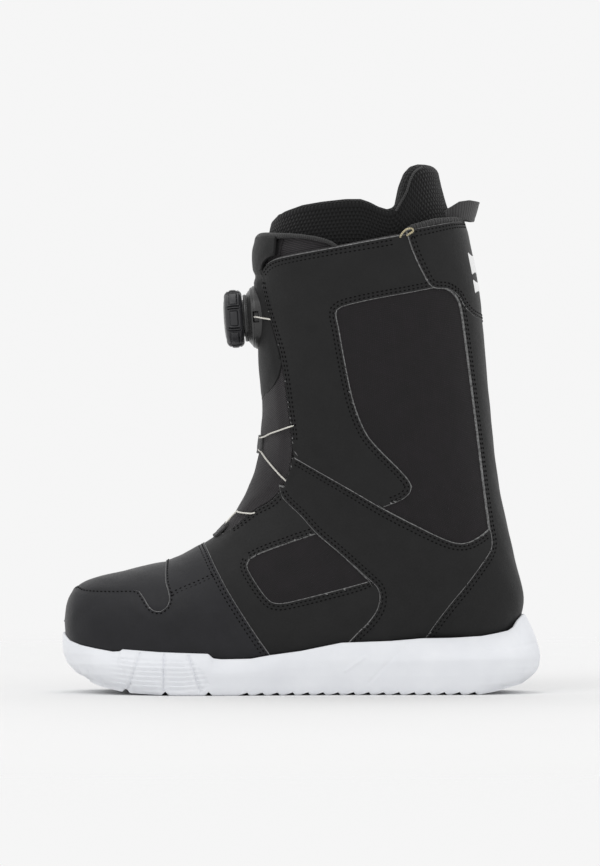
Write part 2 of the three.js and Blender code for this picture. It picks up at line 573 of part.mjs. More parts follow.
function gripRing() {
  const outline = new THREE.Shape();
  const steps = GRIPS * 4;
  for (let k = 0; k < steps; k++) {
    const turn = (k / steps) * 2 * Math.PI;
    const r = k % 4 < 2 ? DIAL_R : DIAL_R - 1.1;
    outline[k ? "lineTo" : "moveTo"](r * Math.cos(turn), r * Math.sin(turn));
  }
  outline.holes.push(new THREE.Path().absarc(0, 0, 16.4 + GAP, 0, 2 * Math.PI, true));
  const ring = new THREE.ExtrudeGeometry(outline, {
    depth: GRIP_SPAN[1] - GRIP_SPAN[0],
    bevelEnabled: false,
    curveSegments: 16,
  });
  return ring.rotateX(-Math.PI / 2).translate(0, GRIP_SPAN[0], 0);
}

function dialPieces() {
  const toDial = dialGroup.matrixWorld.clone().invert();
  const inDial = (body) => body.transform(toDial.elements);
  const port = new THREE.BoxGeometry(44, 2.4, 4).translate(0, LACE_PORT_HEIGHT, 0);
  const grooves = ["left", "right"].map((side) => {
    return solid(cord(dialLacePoints(side), LACE_R + 0.6, 8));
  });
  const base = solid(lathe(DIAL.base)).subtract(solid(port)).subtract(inDial(inside(-GAP)))
    .subtract(inDial(wasm.Manifold.union(grooves)));
  return {
    dial_base: geometryOf(largest(base)),
    spool: lathe(DIAL.spool, 24),
    drive_disc: lathe(DIAL.drive, 24),
    axle_screw: lathe(DIAL.screw, 16),
    dial_knob: lathe(DIAL.knob),
    knob_grip: gripRing(),
  };
}

// ---------------------------------------------------------------- lace
const ON = -1.1; // a free stretch of lace lies this far outside the surface

function dialLacePoints(side) {
  const s = side === "left" ? -1 : 1;
  const port = new THREE.Vector3(0, LACE_PORT_HEIGHT, 0).applyMatrix4(dialGroup.matrixWorld);
  port.y = s * 15;
  return [port, onFront(s * 22, 239.2, ON), onFront(s * 26.6, 238.6, ON),
    onSide([-20, 238.2], side, ON)];
}

// The free stretches of the lace, clear of the pieces that they pass.
function lacePieces() {
  const made = {};
  for (const side of ["left", "right"]) {
    const s = side === "left" ? -1 : 1;
    made[`lace_dial_${side}`] = cord(dialLacePoints(side), LACE_R, 8);
    made[`lace_cuff_run_${side}`] = cord(runPoints(CUFF_RUN, side), LACE_R, 8);
    made[`lace_upper_${side}`] = cord([onFront(s * 9.8, 163.2, ON), onFront(s * 16, 164.3, ON),
      onFront(s * 26, 167, ON), onSide([-9.5, 169.2], side, ON)], LACE_R, 6);
    made[`lace_lower_${side}`] = cord([onFront(s * 9.8, 153.8, ON), onFront(s * 16, 150.5, ON),
      onFront(s * 25, 144.5, ON), onSide([-11.5, 136.6], side, ON)], LACE_R, 6);
    made[`lace_ankle_run_${side}`] = cord(runPoints(ANKLE_RUN, side), LACE_R, 8);
    made[`lace_instep_${side}`] = cord([onSide([-33.5, 115.2], side, ON),
      onFront(s * 12, 114.6, ON), onFront(s * 6, 113.4, ON), onFront(s * 4.4, 110.4, ON)],
      LACE_R, 6);
  }
  return made;
}

// ---------------------------------------------------------------- collar trim
// The middle of the collar binding, which rests on top of the lining.
function rimPoint(y) {
  let point = new THREE.Vector3(90, y, 300);
  for (let round = 0; round < 4; round++) {
    const above = RIM.findIndex(([x]) => x > point.x);
    const [[x0, z0], [x1, z1]] = RIM.slice(above - 1, above + 1);
    const z = z0 + ((z1 - z0) * (point.x - x0)) / (x1 - x0) + BINDING_R + GAP;
    point = surfaceWhere({ z, y }, [19.6, y / 90], LINING_IN + LINING / 2);
  }
  return point;
}

function trimPieces() {
  const binding = cord(Array.from({ length: 13 }, (_, k) => rimPoint(-48 + 8 * k)), BINDING_R, 24);
  const { reach, halfSpan, thick, width, lean } = PULL_LOOP;
  const outer = new THREE.EllipseCurve(0, 0, reach, halfSpan, -Math.PI / 2, Math.PI / 2);
  const inner = new THREE.EllipseCurve(0, 0, reach - thick, halfSpan - thick, -Math.PI / 2,
    Math.PI / 2);
  const plan = new THREE.Shape([...outer.getPoints(14), ...inner.getPoints(14).reverse()]);
  const band = new THREE.ExtrudeGeometry(plan, { depth: width, bevelEnabled: false });
  band.rotateY(THREE.MathUtils.degToRad(lean)).translate(...PULL_LOOP.at);
  const anchors = layer(TONGUE_IN, TONGUE_IN + thick).intersect(below(PULL_LOOP_FOOT));
  const anchor = (y) => anchors.intersect(block(60, 120, y - 2.5, y + 2.5, 290, 320));
  return {
    collar_binding: binding,
    pull_loop: solid(band).intersect(below(PULL_LOOP_TOP)),
    loop_anchor_left: anchor(2.5 - halfSpan),
    loop_anchor_right: anchor(halfSpan - 2.5),
  };
}

// ---------------------------------------------------------------- scene
const finish = (colour, roughness, metalness = 0) =>
  new THREE.MeshStandardMaterial({ color: colour, roughness, metalness });
const FINISH = {
  leather: finish(0x2b2c2e, 0.55),
  ripstop: finish(0x262428, 0.85),
  mesh: finish(0x1c1c1d, 0.9),
  lining: finish(0x202022, 0.95),
  webbing: finish(0x2c2a2e, 0.8),
  rubber: finish(0xeeeef2, 0.5),
  foam: finish(0xd8d8dc, 0.9),
  plastic: finish(0x1d1d20, 0.35),
  steel: finish(0xc9c9c6, 0.3, 1),
  mark: finish(0xf4f4f4, 0.5),
};

const boot = new THREE.Group();
function add(parent, name, shape, material) {
  const geometry = shape.isBufferGeometry ? shape : geometryOf(shape);
  const mesh = new THREE.Mesh(geometry, material);
  mesh.name = name;
  parent.add(mesh);
}

function materialFor(name) {
  if (name.includes("window") || name.startsWith("tongue_fabric")) return FINISH.ripstop;
  if (name.startsWith("liner")) return FINISH.mesh;
  if (/lining|foam|wing|footbed|tongue_lower/.test(name)) return FINISH.lining;
  if (/guide|binding|loop/.test(name)) return FINISH.webbing;
  if (name === "outsole") return FINISH.rubber;
  if (/midsole|board|cushion/.test(name)) return FINISH.foam;
  if (name.startsWith("lace_") || name === "axle_screw") return FINISH.steel;
  if (name === "heel_mark") return FINISH.mark;
  if (/dial|knob|spool|drive|shank/.test(name)) return FINISH.plastic;
  return FINISH.leather;
}

const groups = [
  [boot, outerPanels()],
  [boot, linings()],
  [boot, linerPieces()],
  [boot, tonguePieces()],
  [boot, solePieces()],
  [boot, lacePieces()],
  [boot, trimPieces()],
  [dialGroup, dialPieces()],
];
for (const [parent, pieces] of groups) {
  for (const [name, shape] of Object.entries(pieces)) add(parent, name, shape, materialFor(name));
}
boot.add(dialGroup);

export default boot;
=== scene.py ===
import math

import bpy
import numpy as np
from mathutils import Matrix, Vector, kdtree
from mathutils.bvhtree import BVHTree
from mathutils.geometry import delaunay_2d_cdt


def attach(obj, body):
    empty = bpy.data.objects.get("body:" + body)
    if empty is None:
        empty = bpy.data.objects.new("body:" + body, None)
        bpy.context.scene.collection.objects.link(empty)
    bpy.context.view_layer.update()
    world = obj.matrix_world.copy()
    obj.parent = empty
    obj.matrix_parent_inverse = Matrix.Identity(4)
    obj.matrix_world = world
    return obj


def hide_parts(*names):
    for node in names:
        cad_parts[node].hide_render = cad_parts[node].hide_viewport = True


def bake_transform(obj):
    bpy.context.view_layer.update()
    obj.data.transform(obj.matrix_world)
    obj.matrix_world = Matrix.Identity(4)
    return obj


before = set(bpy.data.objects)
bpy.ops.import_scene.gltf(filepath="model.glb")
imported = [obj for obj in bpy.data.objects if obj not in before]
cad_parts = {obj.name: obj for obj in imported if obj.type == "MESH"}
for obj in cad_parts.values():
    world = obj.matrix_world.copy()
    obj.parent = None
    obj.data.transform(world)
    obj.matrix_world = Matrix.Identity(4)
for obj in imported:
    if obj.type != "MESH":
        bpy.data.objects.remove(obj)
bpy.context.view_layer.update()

MM = 0.001
PI = math.pi

# ---------------------------------------------------------------- driving dimensions
LENS = 250  # millimetres, long, so that the side view is nearly flat
VIEW_CENTRE = (-1.0, 165.8)  # what the middle of the picture looks at (X, Z)
VIEW_HEIGHT = 554.0  # how much of the scene the picture's height holds

EDGE_WIDTH = 0.55  # the cut edge round each panel, painted pale partly to stand for the highlight on its rounded edge
EDGE_DROP = 0.8  # how far the panel falls away over that edge
SKIRT = 1.9  # the panel's border goes this deep
GRID = 2.3  # spacing of the panel's inner vertices
STITCH_ROWS = (2.1, 4.3)  # distance of the two stitch rows from the edge
STITCH_PITCH = 2.9
STITCH_LENGTH = 1.5
STITCH_R = 0.42

# Depth of each panel's face under the boot surface.
LEVEL = {"window": 1.25, "toe_top": 0.95, "quarter": 0.6, "cuff": 0.5, "ankle": 0.15, "rand": 0.0,
         "counter": 0.0, "rear_cuff": -0.2}

THROAT_PLAY = 0.8

# ---------------------------------------------------------------- boot surface
# Rows from the toe up the leg: front (top) x and z, back (bottom) x and z, centre y, half width,
# height share of the widest level, squareness of the back (bottom) and front (top) halves.
ROWS = np.array([
    [-151.8, 46, -151.8, 45, 5, 0.5, 0.5, 2, 2],
    [-151.4, 50, -151.4, 41, 5, 4, 0.5, 2, 2],
    [-150.3, 57, -150.8, 35, 5, 14, 0.42, 2.4, 2.2],
    [-147.5, 63.8, -149, 29.5, 5, 23, 0.4, 2.6, 2.3],
    [-142.5, 69.8, -145, 24, 5, 31, 0.38, 3, 2.4],
    [-132, 74.4, -135.5, 19.5, 4.5, 39.5, 0.36, 3.4, 2.4],
    [-115, 78.4, -118, 16, 3.5, 47, 0.35, 3.8, 2.4],
    [-97, 82.8, -97, 14, 2, 51.5, 0.34, 4, 2.3],
    [-82, 86, -76, 13, 0.5, 53.5, 0.33, 4, 2.2],
    [-68, 93, -50, 13, -1, 52.5, 0.33, 4, 2.1],
    [-54, 102, -20, 14.5, -2, 49.5, 0.34, 4, 2],
    [-43, 115.5, 15, 17, -2, 46.5, 0.35, 3.6, 1.9],
    [-34.5, 131, 55, 19.5, -1, 44.5, 0.37, 3.2, 1.85],
    [-29.3, 146, 95, 21.5, 0, 43.5, 0.4, 2.8, 1.85],
    [-27, 159, 126, 25, 0, 45, 0.45, 2.6, 1.9],
    [-26.2, 171, 141.8, 55, 0, 47.5, 0.49, 2.3, 2],
    [-25.5, 184, 135.8, 88, 0, 49.5, 0.5, 2.3, 2.1],
    [-27.3, 206, 126, 134, 0, 52.5, 0.5, 2.3, 2.2],
    [-28.6, 234, 119.8, 190, 0, 55, 0.5, 2.3, 2.2],
    [-30.8, 265, 114.3, 250, 0, 57, 0.5, 2.3, 2.2],
    [-31.8, 281, 107.7, 287, 0, 57.5, 0.5, 2.3, 2.2],
    [-28.5, 296, 103.8, 303, 0, 57, 0.5, 2.3, 2.2],
    [-24, 318, 98, 322, 0, 55, 0.5, 2.3, 2.2],
    [-22, 345, 93, 345, 0, 53, 0.5, 2.3, 2.2],
])
ROWS[:, :6] *= MM
LAST = len(ROWS) - 1
WRAP = 0.05  # metres of plane width per radian round a row


def unit(v):
    return v / np.maximum(np.linalg.norm(v, axis=-1, keepdims=True), 1e-12)


def run_along(points):
    """The length from the first point to each point of a line."""
    return np.concatenate([[0], np.cumsum(np.linalg.norm(np.diff(points, axis=0), axis=1))])


def ease(share):
    """A share from 0 to 1, held to that range, with soft ends."""
    share = np.clip(share, 0, 1)
    return share * share * (3 - 2 * share)


def rows_at(u):
    """The rows at fractional row numbers, on a smooth curve through the table."""
    u = np.clip(u, 0, LAST - 1e-9)
    i = u.astype(int)
    f = (u - i)[..., None]
    a, b, c, d = (ROWS[np.clip(i + k, 0, LAST)] for k in (-1, 0, 1, 2))
    return b + 0.5 * f * (c - a + f * (2 * a - 5 * b + 4 * c - d + f * (3 * b - a - 3 * c + d)))


def surface(u, t):
    """Points of the boot's outer surface. t turns from 0 at the back through +Y to PI in front."""
    u, t = np.broadcast_arrays(np.asarray(u, float), np.asarray(t, float))
    r = rows_at(u)
    c, s = np.cos(t), np.sin(t)
    n = np.where(c >= 0, r[..., 7], r[..., 8])
    size = (np.abs(c) ** n + np.abs(s) ** n) ** (-1 / n)
    rise = np.abs(c) * size
    widest = r[..., 6]
    share = np.where(c >= 0, widest * (1 - rise), widest + (1 - widest) * rise)
    x = r[..., 2] + (r[..., 0] - r[..., 2]) * share
    z = r[..., 3] + (r[..., 1] - r[..., 3]) * share
    return np.stack([x, r[..., 4] + s * size * r[..., 5], z], -1)


def slopes(u, t):
    """The surface's derivatives along u and t."""
    e = 1e-3
    low = np.clip(u - e, 0, LAST - 1e-6)
    high = np.clip(u + e, 0, LAST - 1e-6)
    du = (surface(high, t) - surface(low, t)) / (high - low)[..., None]
    dt = (surface(u, t + e) - surface(u, t - e)) / (2 * e)
    return du, dt


def normals(u, t):
    du, dt = slopes(u, t)
    n = unit(np.cross(dt, du))
    r = rows_at(u)
    middle = np.stack([(r[..., 0] + r[..., 2]) / 2, r[..., 4], (r[..., 1] + r[..., 3]) / 2], -1)
    outward = np.sum(n * (surface(u, t) - middle), -1, keepdims=True)
    return n * np.sign(outward + 1e-15)


def at_depth(u, t, depth):
    """Points that lie depth metres under the surface."""
    u, t = np.broadcast_arrays(np.asarray(u, float), np.asarray(t, float))
    return surface(u, t) - normals(u, t) * np.asarray(depth)[..., None]


# The unrolled surface: p is the length along the boot, q the angle from the front or the back.
_steps = np.linspace(0, LAST, 60 * LAST + 1)
_rows = rows_at(_steps)
_run = sum(np.linalg.norm(np.diff(_rows[:, k:k + 2], axis=0), axis=1) for k in (0, 2)) / 2
_length = np.concatenate([[0], np.cumsum(_run)])


def p_of(u):
    return np.interp(u, _steps, _length)


def u_of(p):
    return np.interp(p, _length, _steps)


def unroll(u, t, front):
    """Plane points of surface points whose turn t is between -PI and 2 PI."""
    angle = t - PI if front else t
    return np.stack([p_of(u), WRAP * angle], -1)


def roll(points, front):
    """Row and turn of plane points."""
    angle = points[..., 1] / WRAP
    return u_of(points[..., 0]), (angle + PI if front else angle)


_tree_u, _tree_t = (a.ravel() for a in np.meshgrid(np.linspace(0, LAST, 420),
                                                   np.linspace(0, PI, 130)))
_tree_points = surface(_tree_u, _tree_t)
_tree = kdtree.KDTree(len(_tree_points))
for _k, _p in enumerate(_tree_points):
    _tree.insert((_p[0], _p[2], 0), _k)
_tree.balance()


def locate(points):
    """Row and turn (0 to PI) of side view points (x, z); outside ones go to the silhouette."""
    points = np.asarray(points, float)
    near = np.array([_tree.find((x, z, 0))[1] for x, z in points])
    u, t = _tree_u[near], _tree_t[near]
    step_u, step_t = 0.05, 0.02
    offsets = [(i, j) for i in (-1, 0, 1) for j in (-1, 0, 1)]
    for _ in range(16):
        us = np.clip([u + i * step_u for i, j in offsets], 0, LAST)
        ts = np.clip([t + j * step_t for i, j in offsets], 0, PI)
        miss = np.linalg.norm(surface(us, ts)[..., [0, 2]] - points, axis=-1)
        best = np.argmin(miss, 0)
        u, t = us[best, np.arange(len(u))], ts[best, np.arange(len(t))]
        step_u, step_t = step_u * 0.65, step_t * 0.65
    return u, t


# ---------------------------------------------------------------- lines
def smooth(points, step=1.5, closed=False, corner=38):
    """Close points, in metres, on a curve through points given in millimetres."""
    pts = np.asarray(points, float)
    n = len(pts)
    before, after = np.roll(pts, 1, 0), np.roll(pts, -1, 0)
    if not closed:
        before[0], after[-1] = 2 * pts[0] - pts[1], 2 * pts[-1] - pts[-2]
    arrive, leave = unit(pts - before), unit(after - pts)
    sharp = (np.sum(arrive * leave, -1) < math.cos(math.radians(corner)))[:, None]
    along = unit(after - before)
    leave, arrive = np.where(sharp, leave, along), np.where(sharp, arrive, along)
    out = []
    for k in range(n if closed else n - 1):
        j = (k + 1) % n
        length = np.linalg.norm(pts[j] - pts[k])
        count = max(1, math.ceil(length / step))
        f = (np.arange(count) / count)[:, None]
        out.append((2 * f**3 - 3 * f**2 + 1) * pts[k] + (f**3 - 2 * f**2 + f) * leave[k] * length
                   + (3 * f**2 - 2 * f**3) * pts[j] + (f**3 - f**2) * arrive[j] * length)
    if not closed:
        out.append(pts[-1:])
    return np.concatenate(out) * MM


def side_line(points, front, closed=False):
    """A side view line on the left half, as plane points."""
    u, t = locate(smooth(points, closed=closed))
    return unroll(u, 2 * PI - t if front else -t, front)


def settled(line, keep=15, steepest=1.2):
    """The same line with its end led evenly to the middle, where a side view gives no hold.

    From keep millimetres beside the middle, a parabola takes over with the line's own slope.
    """
    last = np.nonzero(np.abs(line[:, 1]) > keep * MM)[0][-1]
    back = max(last - 5, 0)
    p0, q0 = line[last]
    slope = (p0 - line[back, 0]) / (q0 - line[back, 1])
    slope = np.clip(slope, -steepest, steepest)
    q = np.linspace(q0, 0, int(keep / 1.5) + 2)[1:]
    p = p0 + slope * (q**2 - q0**2) / (2 * q0)
    return np.concatenate([line[:last + 1], np.stack([p, q], 1)])


def mirrored(line):
    """The same line on the right half, walked the other way."""
    return line[::-1] * np.array([1, -1])


def inside(points, ring):
    x, y = points[:, 0, None], points[:, 1, None]
    a, b = ring, np.roll(ring, -1, 0)
    crosses = (a[:, 1] > y) != (b[:, 1] > y)
    height = np.where(b[:, 1] == a[:, 1], 1, b[:, 1] - a[:, 1])
    at = a[:, 0] + (b[:, 0] - a[:, 0]) * (y - a[:, 1]) / height
    return np.sum(crosses & (x < at), 1) % 2 == 1


def distance(points, line, closed=True):
    """Shortest distance from each point to the line, in the plane."""
    a = line if closed else line[:-1]
    b = np.roll(line, -1, 0) if closed else line[1:]
    ab = b - a
    size = np.maximum(np.sum(ab * ab, -1), 1e-18)
    best = np.full(len(points), 1e9)
    for k in range(len(a)):
        f = np.clip(((points - a[k]) @ ab[k]) / size[k], 0, 1)
        best = np.minimum(best, np.linalg.norm(points - a[k] - f[:, None] * ab[k], axis=1))
    return best


def moved(line, by, front, closed=False):
    """The line moved sideways on the surface by metres, to the left of its direction."""
    u, t = roll(line, front)
    at = surface(u, t)
    if closed:
        along = np.roll(at, -1, 0) - np.roll(at, 1, 0)
    else:
        along = np.gradient(at, axis=0)
    du, dt = slopes(u, t)
    n = np.cross(du, dt)
    across = unit(np.cross(n, along)) * by
    m = np.stack([np.stack([np.sum(du * du, -1), np.sum(du * dt, -1)], -1),
                  np.stack([np.sum(du * dt, -1), np.sum(dt * dt, -1)], -1)], -2)
    m = m + np.eye(2) * 1e-12
    right = np.stack([np.sum(du * across, -1), np.sum(dt * across, -1)], -1)
    change = np.linalg.solve(m, right[..., None])[..., 0]
    change = np.clip(change, -0.4, 0.4)
    return unroll(np.clip(u + change[:, 0], 0, LAST), t + change[:, 1], front)


def table(points, x):
    """The height at x of a line through (x, height) points."""
    xs, heights = np.array(points, float).T
    return np.interp(x, xs, heights)


def area(ring):
    x, y = ring.T
    return 0.5 * np.sum(x * np.roll(y, -1) - y * np.roll(x, -1))


def tidy_ring(ring):
    """The ring anticlockwise and without repeated points."""
    keep = np.linalg.norm(ring - np.roll(ring, 1, 0), axis=1) > 1e-4
    ring = ring[keep]
    return ring if area(ring) > 0 else ring[::-1]


# ---------------------------------------------------------------- meshes
def new_object(name, verts, faces, materials, uv=None, face_material=None, sharp=40):
    mesh = bpy.data.meshes.new(name)
    mesh.from_pydata([tuple(v) for v in np.asarray(verts, float)], [],
                     [tuple(int(i) for i in f) for f in faces])
    for material in materials:
        mesh.materials.append(material)
    if face_material is not None:
        mesh.polygons.foreach_set("material_index", np.asarray(face_material, np.int32))
    if uv is not None:
        loops = np.empty(len(mesh.loops), np.int32)
        mesh.loops.foreach_get("vertex_index", loops)
        mesh.uv_layers.new(name="plane").data.foreach_set("uv", np.asarray(uv)[loops].ravel())
    mesh.polygons.foreach_set("use_smooth", np.ones(len(mesh.polygons), bool))
    mesh.set_sharp_from_angle(angle=math.radians(sharp))
    mesh.update()
    piece = bpy.data.objects.new(name, mesh)
    bpy.context.scene.collection.objects.link(piece)
    return piece


def grid_faces(rows, columns, around=False):
    """Quads over a rows by columns grid of vertices; around closes the columns."""
    faces = []
    for i in range(rows - 1):
        for j in range(columns if around else columns - 1):
            k = (j + 1) % columns
            faces.append((i * columns + j, i * columns + k,
                          (i + 1) * columns + k, (i + 1) * columns + j))
    return faces


def waves(x, y, z=0.0):
    """A gentle unevenness between -1 and 1 with a wavelength of a few centimetres."""
    return (np.sin(x * 170 + 1.3 * np.sin(y * 120 + z * 90)) * np.sin(y * 150 + z * 130 + 0.7)
            + 0.6 * np.sin((x + y) * 310 + z * 240 + 2.1)) / 1.6


def pillow(d):
    """Extra depth at d metres from a sewn edge: pressed down at the stitches, then full again."""
    return 0.28 * MM * np.exp(-((d - 3.1 * MM) / (2.3 * MM)) ** 2)


def is_narrow(corners):
    """Whether a triangle is no wider than the cut edge, so that it belongs to it."""
    sides = np.linalg.norm(corners - np.roll(corners, 1, 0), axis=1)
    double = np.linalg.norm(np.cross(corners[1] - corners[0], corners[2] - corners[0]))
    return double / max(sides.max(), 1e-9) < 1.7 * EDGE_WIDTH * MM


def in_panel(points, rings):
    """Whether plane points are in the first ring and in none of the others, its holes."""
    found = inside(points, rings[0])
    for hole in rings[1:]:
        found &= ~inside(points, hole)
    return found


def edge_line(ring, rings, front):
    """The ring moved by the edge's width to the panel's side of it."""
    for side in (1, -1):
        inner = moved(ring, side * EDGE_WIDTH * MM, front, closed=True)
        if np.mean(inside(inner, rings[0])) > 0.5 and (
                ring is rings[0] or np.mean(inside(inner, ring)) < 0.5):
            break
    return inner


def even_field(low, high, grid):
    """Plane points in rows between two corners, every second row shifted by half a step."""
    spacing = grid * MM
    p, q = np.meshgrid(np.arange(low[0], high[0], spacing),
                       np.arange(low[1], high[1], spacing * 0.95))
    q = q + (np.arange(p.shape[1]) % 2)[None, :] * spacing * 0.48
    return np.stack([p.ravel(), q.ravel()], -1)


def panel_points(rings, front, grid):
    """The rings, a line beside each of them and an even field, and the rings' edges."""
    verts, edges, stretches = list(rings), [], []
    start = 0
    for ring in rings:
        edges += [(start + k, start + (k + 1) % len(ring)) for k in range(len(ring))]
        start += len(ring)
    for ring in rings:
        inner = edge_line(ring, rings, front)
        reach = np.linalg.norm(inner - ring, axis=1)
        stretches.append(reach / (EDGE_WIDTH * MM))
        verts.append(inner[in_panel(inner, rings) & (distance(inner, ring) > 0.6 * reach)])
    field = even_field(rings[0].min(0), rings[0].max(0), grid)
    field = field[in_panel(field, rings)]
    for ring, stretch in zip(rings, stretches):
        near = np.argmin(np.linalg.norm(field[:, None] - ring[None], axis=2), 1)
        field = field[distance(field, ring) > 1.9 * EDGE_WIDTH * MM * stretch[near]]
    return np.concatenate([*verts, field]), edges


def triangulate(flat, edges, rings):
    """Plane points and triangles that fill the panel."""
    result = delaunay_2d_cdt([Vector(v) for v in flat], edges, [], 0, 1e-7)
    points = np.array([tuple(v) for v in result[0]])
    tris = np.array([tuple(f) for f in result[2]])
    tris = tris[in_panel(points[tris].mean(1), rings)]
    used, tris_used = np.unique(tris, return_inverse=True)
    return points[used], tris_used.reshape(tris.shape)


def rim_of(tris):
    """The triangle sides that have no neighbour."""
    sides = dict.fromkeys((f[k], f[(k + 1) % 3]) for f in tris for k in range(3))
    return [(a, b) for a, b in sides if (b, a) not in sides]


def panel(name, outline, level, front, materials, holes=(), swell=0.15, grid=GRID,
          drop=EDGE_DROP, press=1.0, closed_below=-1.0):
    """A sewn panel on the boot surface: a face, a rounded edge painted pale (partly a painted
    highlight) and a border that goes down.

    level is the face's depth in millimetres, or a function of plane points that gives it in metres.
    Below the row closed_below the panel closes over the toe's tip and has no edge.
    """
    rings = [tidy_ring(r) for r in (outline, *holes)]
    points, tris = triangulate(*panel_points(rings, front, grid), rings)
    d = np.min([distance(points, ring) for ring in rings], 0)
    border = d < 1e-6
    u, t = roll(points, front)
    base = level(points) if callable(level) else np.full(len(points), level * MM)
    tip = u < closed_below
    depth = base + np.where(tip, 0, np.where(border, drop * MM, pillow(d) * press))
    plain = surface(u, t)
    fade = np.clip((d - 4 * MM) / (12 * MM), 0, 1)
    depth = depth - swell * MM * waves(plain[:, 0], plain[:, 2], plain[:, 1]) * fade
    body = at_depth(u, t, depth)
    sample = tris[len(tris) // 2]
    a, b, c = body[sample]
    if np.dot(np.cross(b - a, c - a), normals(u, t)[sample[0]]) < 0:
        tris = tris[:, ::-1]
    faces = [tuple(f) for f in tris]
    # The second material goes on the narrow border faces and the skirt: the pale cut edge, which is
    # partly a painted highlight.
    kinds = [int(border[f].any() and is_narrow(body[f]) and not tip[f].any()) for f in tris]
    rim = rim_of(tris)
    corners = list(dict.fromkeys(v for side in rim for v in side))
    foot = {v: len(points) + k for k, v in enumerate(corners)}
    for a, b in rim:
        faces.append((b, a, foot[a], foot[b]))
        kinds.append(0 if tip[a] else 1)
    sunk = at_depth(u, t, base + SKIRT * MM)
    return new_object(name, np.concatenate([body, sunk[corners]]), faces, materials,
                      uv=np.concatenate([points, points[corners]]), face_material=kinds)


# ---------------------------------------------------------------- stitches
def capsule():
    """A stitch lying along X: a slightly flattened grain with pointed ends."""
    verts = []
    stations = [(-0.5, 0.3), (-0.28, 0.95), (0.28, 0.95), (0.5, 0.3)]
    sides = 6
    for x, r in stations:
        for k in range(sides):
            a = 2 * PI * k / sides
            verts.append((x * STITCH_LENGTH * MM, r * STITCH_R * MM * math.cos(a),
                          r * STITCH_R * MM * 0.9 * math.sin(a)))
    last = (len(stations) - 1) * sides
    ends = [tuple(range(sides)), tuple(range(last, last + sides))[::-1]]
    return np.array(verts), grid_faces(len(stations), sides, around=True) + ends


GRAIN, GRAIN_FACES = capsule()


class Thread:
    """Collects stitches and makes them one piece."""

    def __init__(self):
        self.verts, self.faces, self.count = [], [], 0

    def add(self, at, along, up):
        across = np.cross(up, along)
        self.verts.append(at + GRAIN @ np.array([along, across, up]))
        self.faces += [tuple(self.count + i for i in f) for f in GRAIN_FACES]
        self.count += len(GRAIN)

    def row(self, line, front, depth, pitch=STITCH_PITCH, margin=1.6):
        """Stitches along a plane line at a depth in metres."""
        u, t = roll(line, front)
        at = surface(u, t)
        run = run_along(at)
        count = int((run[-1] - 2 * margin * MM) / (pitch * MM))
        if count < 1:
            return
        where = np.linspace(margin * MM, run[-1] - margin * MM, count + 1)
        us, ts = np.interp(where, run, u), np.interp(where, run, t)
        ahead = surface(np.interp(where + 2e-4, run, u), np.interp(where + 2e-4, run, t))
        behind = surface(np.interp(where - 2e-4, run, u), np.interp(where - 2e-4, run, t))
        n = normals(us, ts)
        along = unit(ahead - behind)
        along = unit(along - n * np.sum(along * n, -1, keepdims=True))
        places = at_depth(us, ts, np.full(len(us), depth))
        for k in range(len(us)):
            self.add(places[k], along[k], n[k])

    def double(self, line, front, level, ring, hole=None, rows=STITCH_ROWS):
        """Rows beside an edge, on the panel's side of it, on both halves of the boot."""
        for offset in rows:
            sides = [moved(line, side * offset * MM, front) for side in (1, -1)]
            on_panel = [np.mean(inside(m, ring) & (hole is None or ~inside(m, hole)))
                        for m in sides]
            moved_line = sides[int(np.argmax(on_panel))]
            depth = level * MM + float(pillow(np.array(offset * MM))) - 0.05 * MM
            self.row(moved_line, front, depth)
            self.row(mirrored(moved_line), front, depth)

    def piece(self, name, material):
        return new_object(name, np.concatenate(self.verts), self.faces, [material], sharp=60)


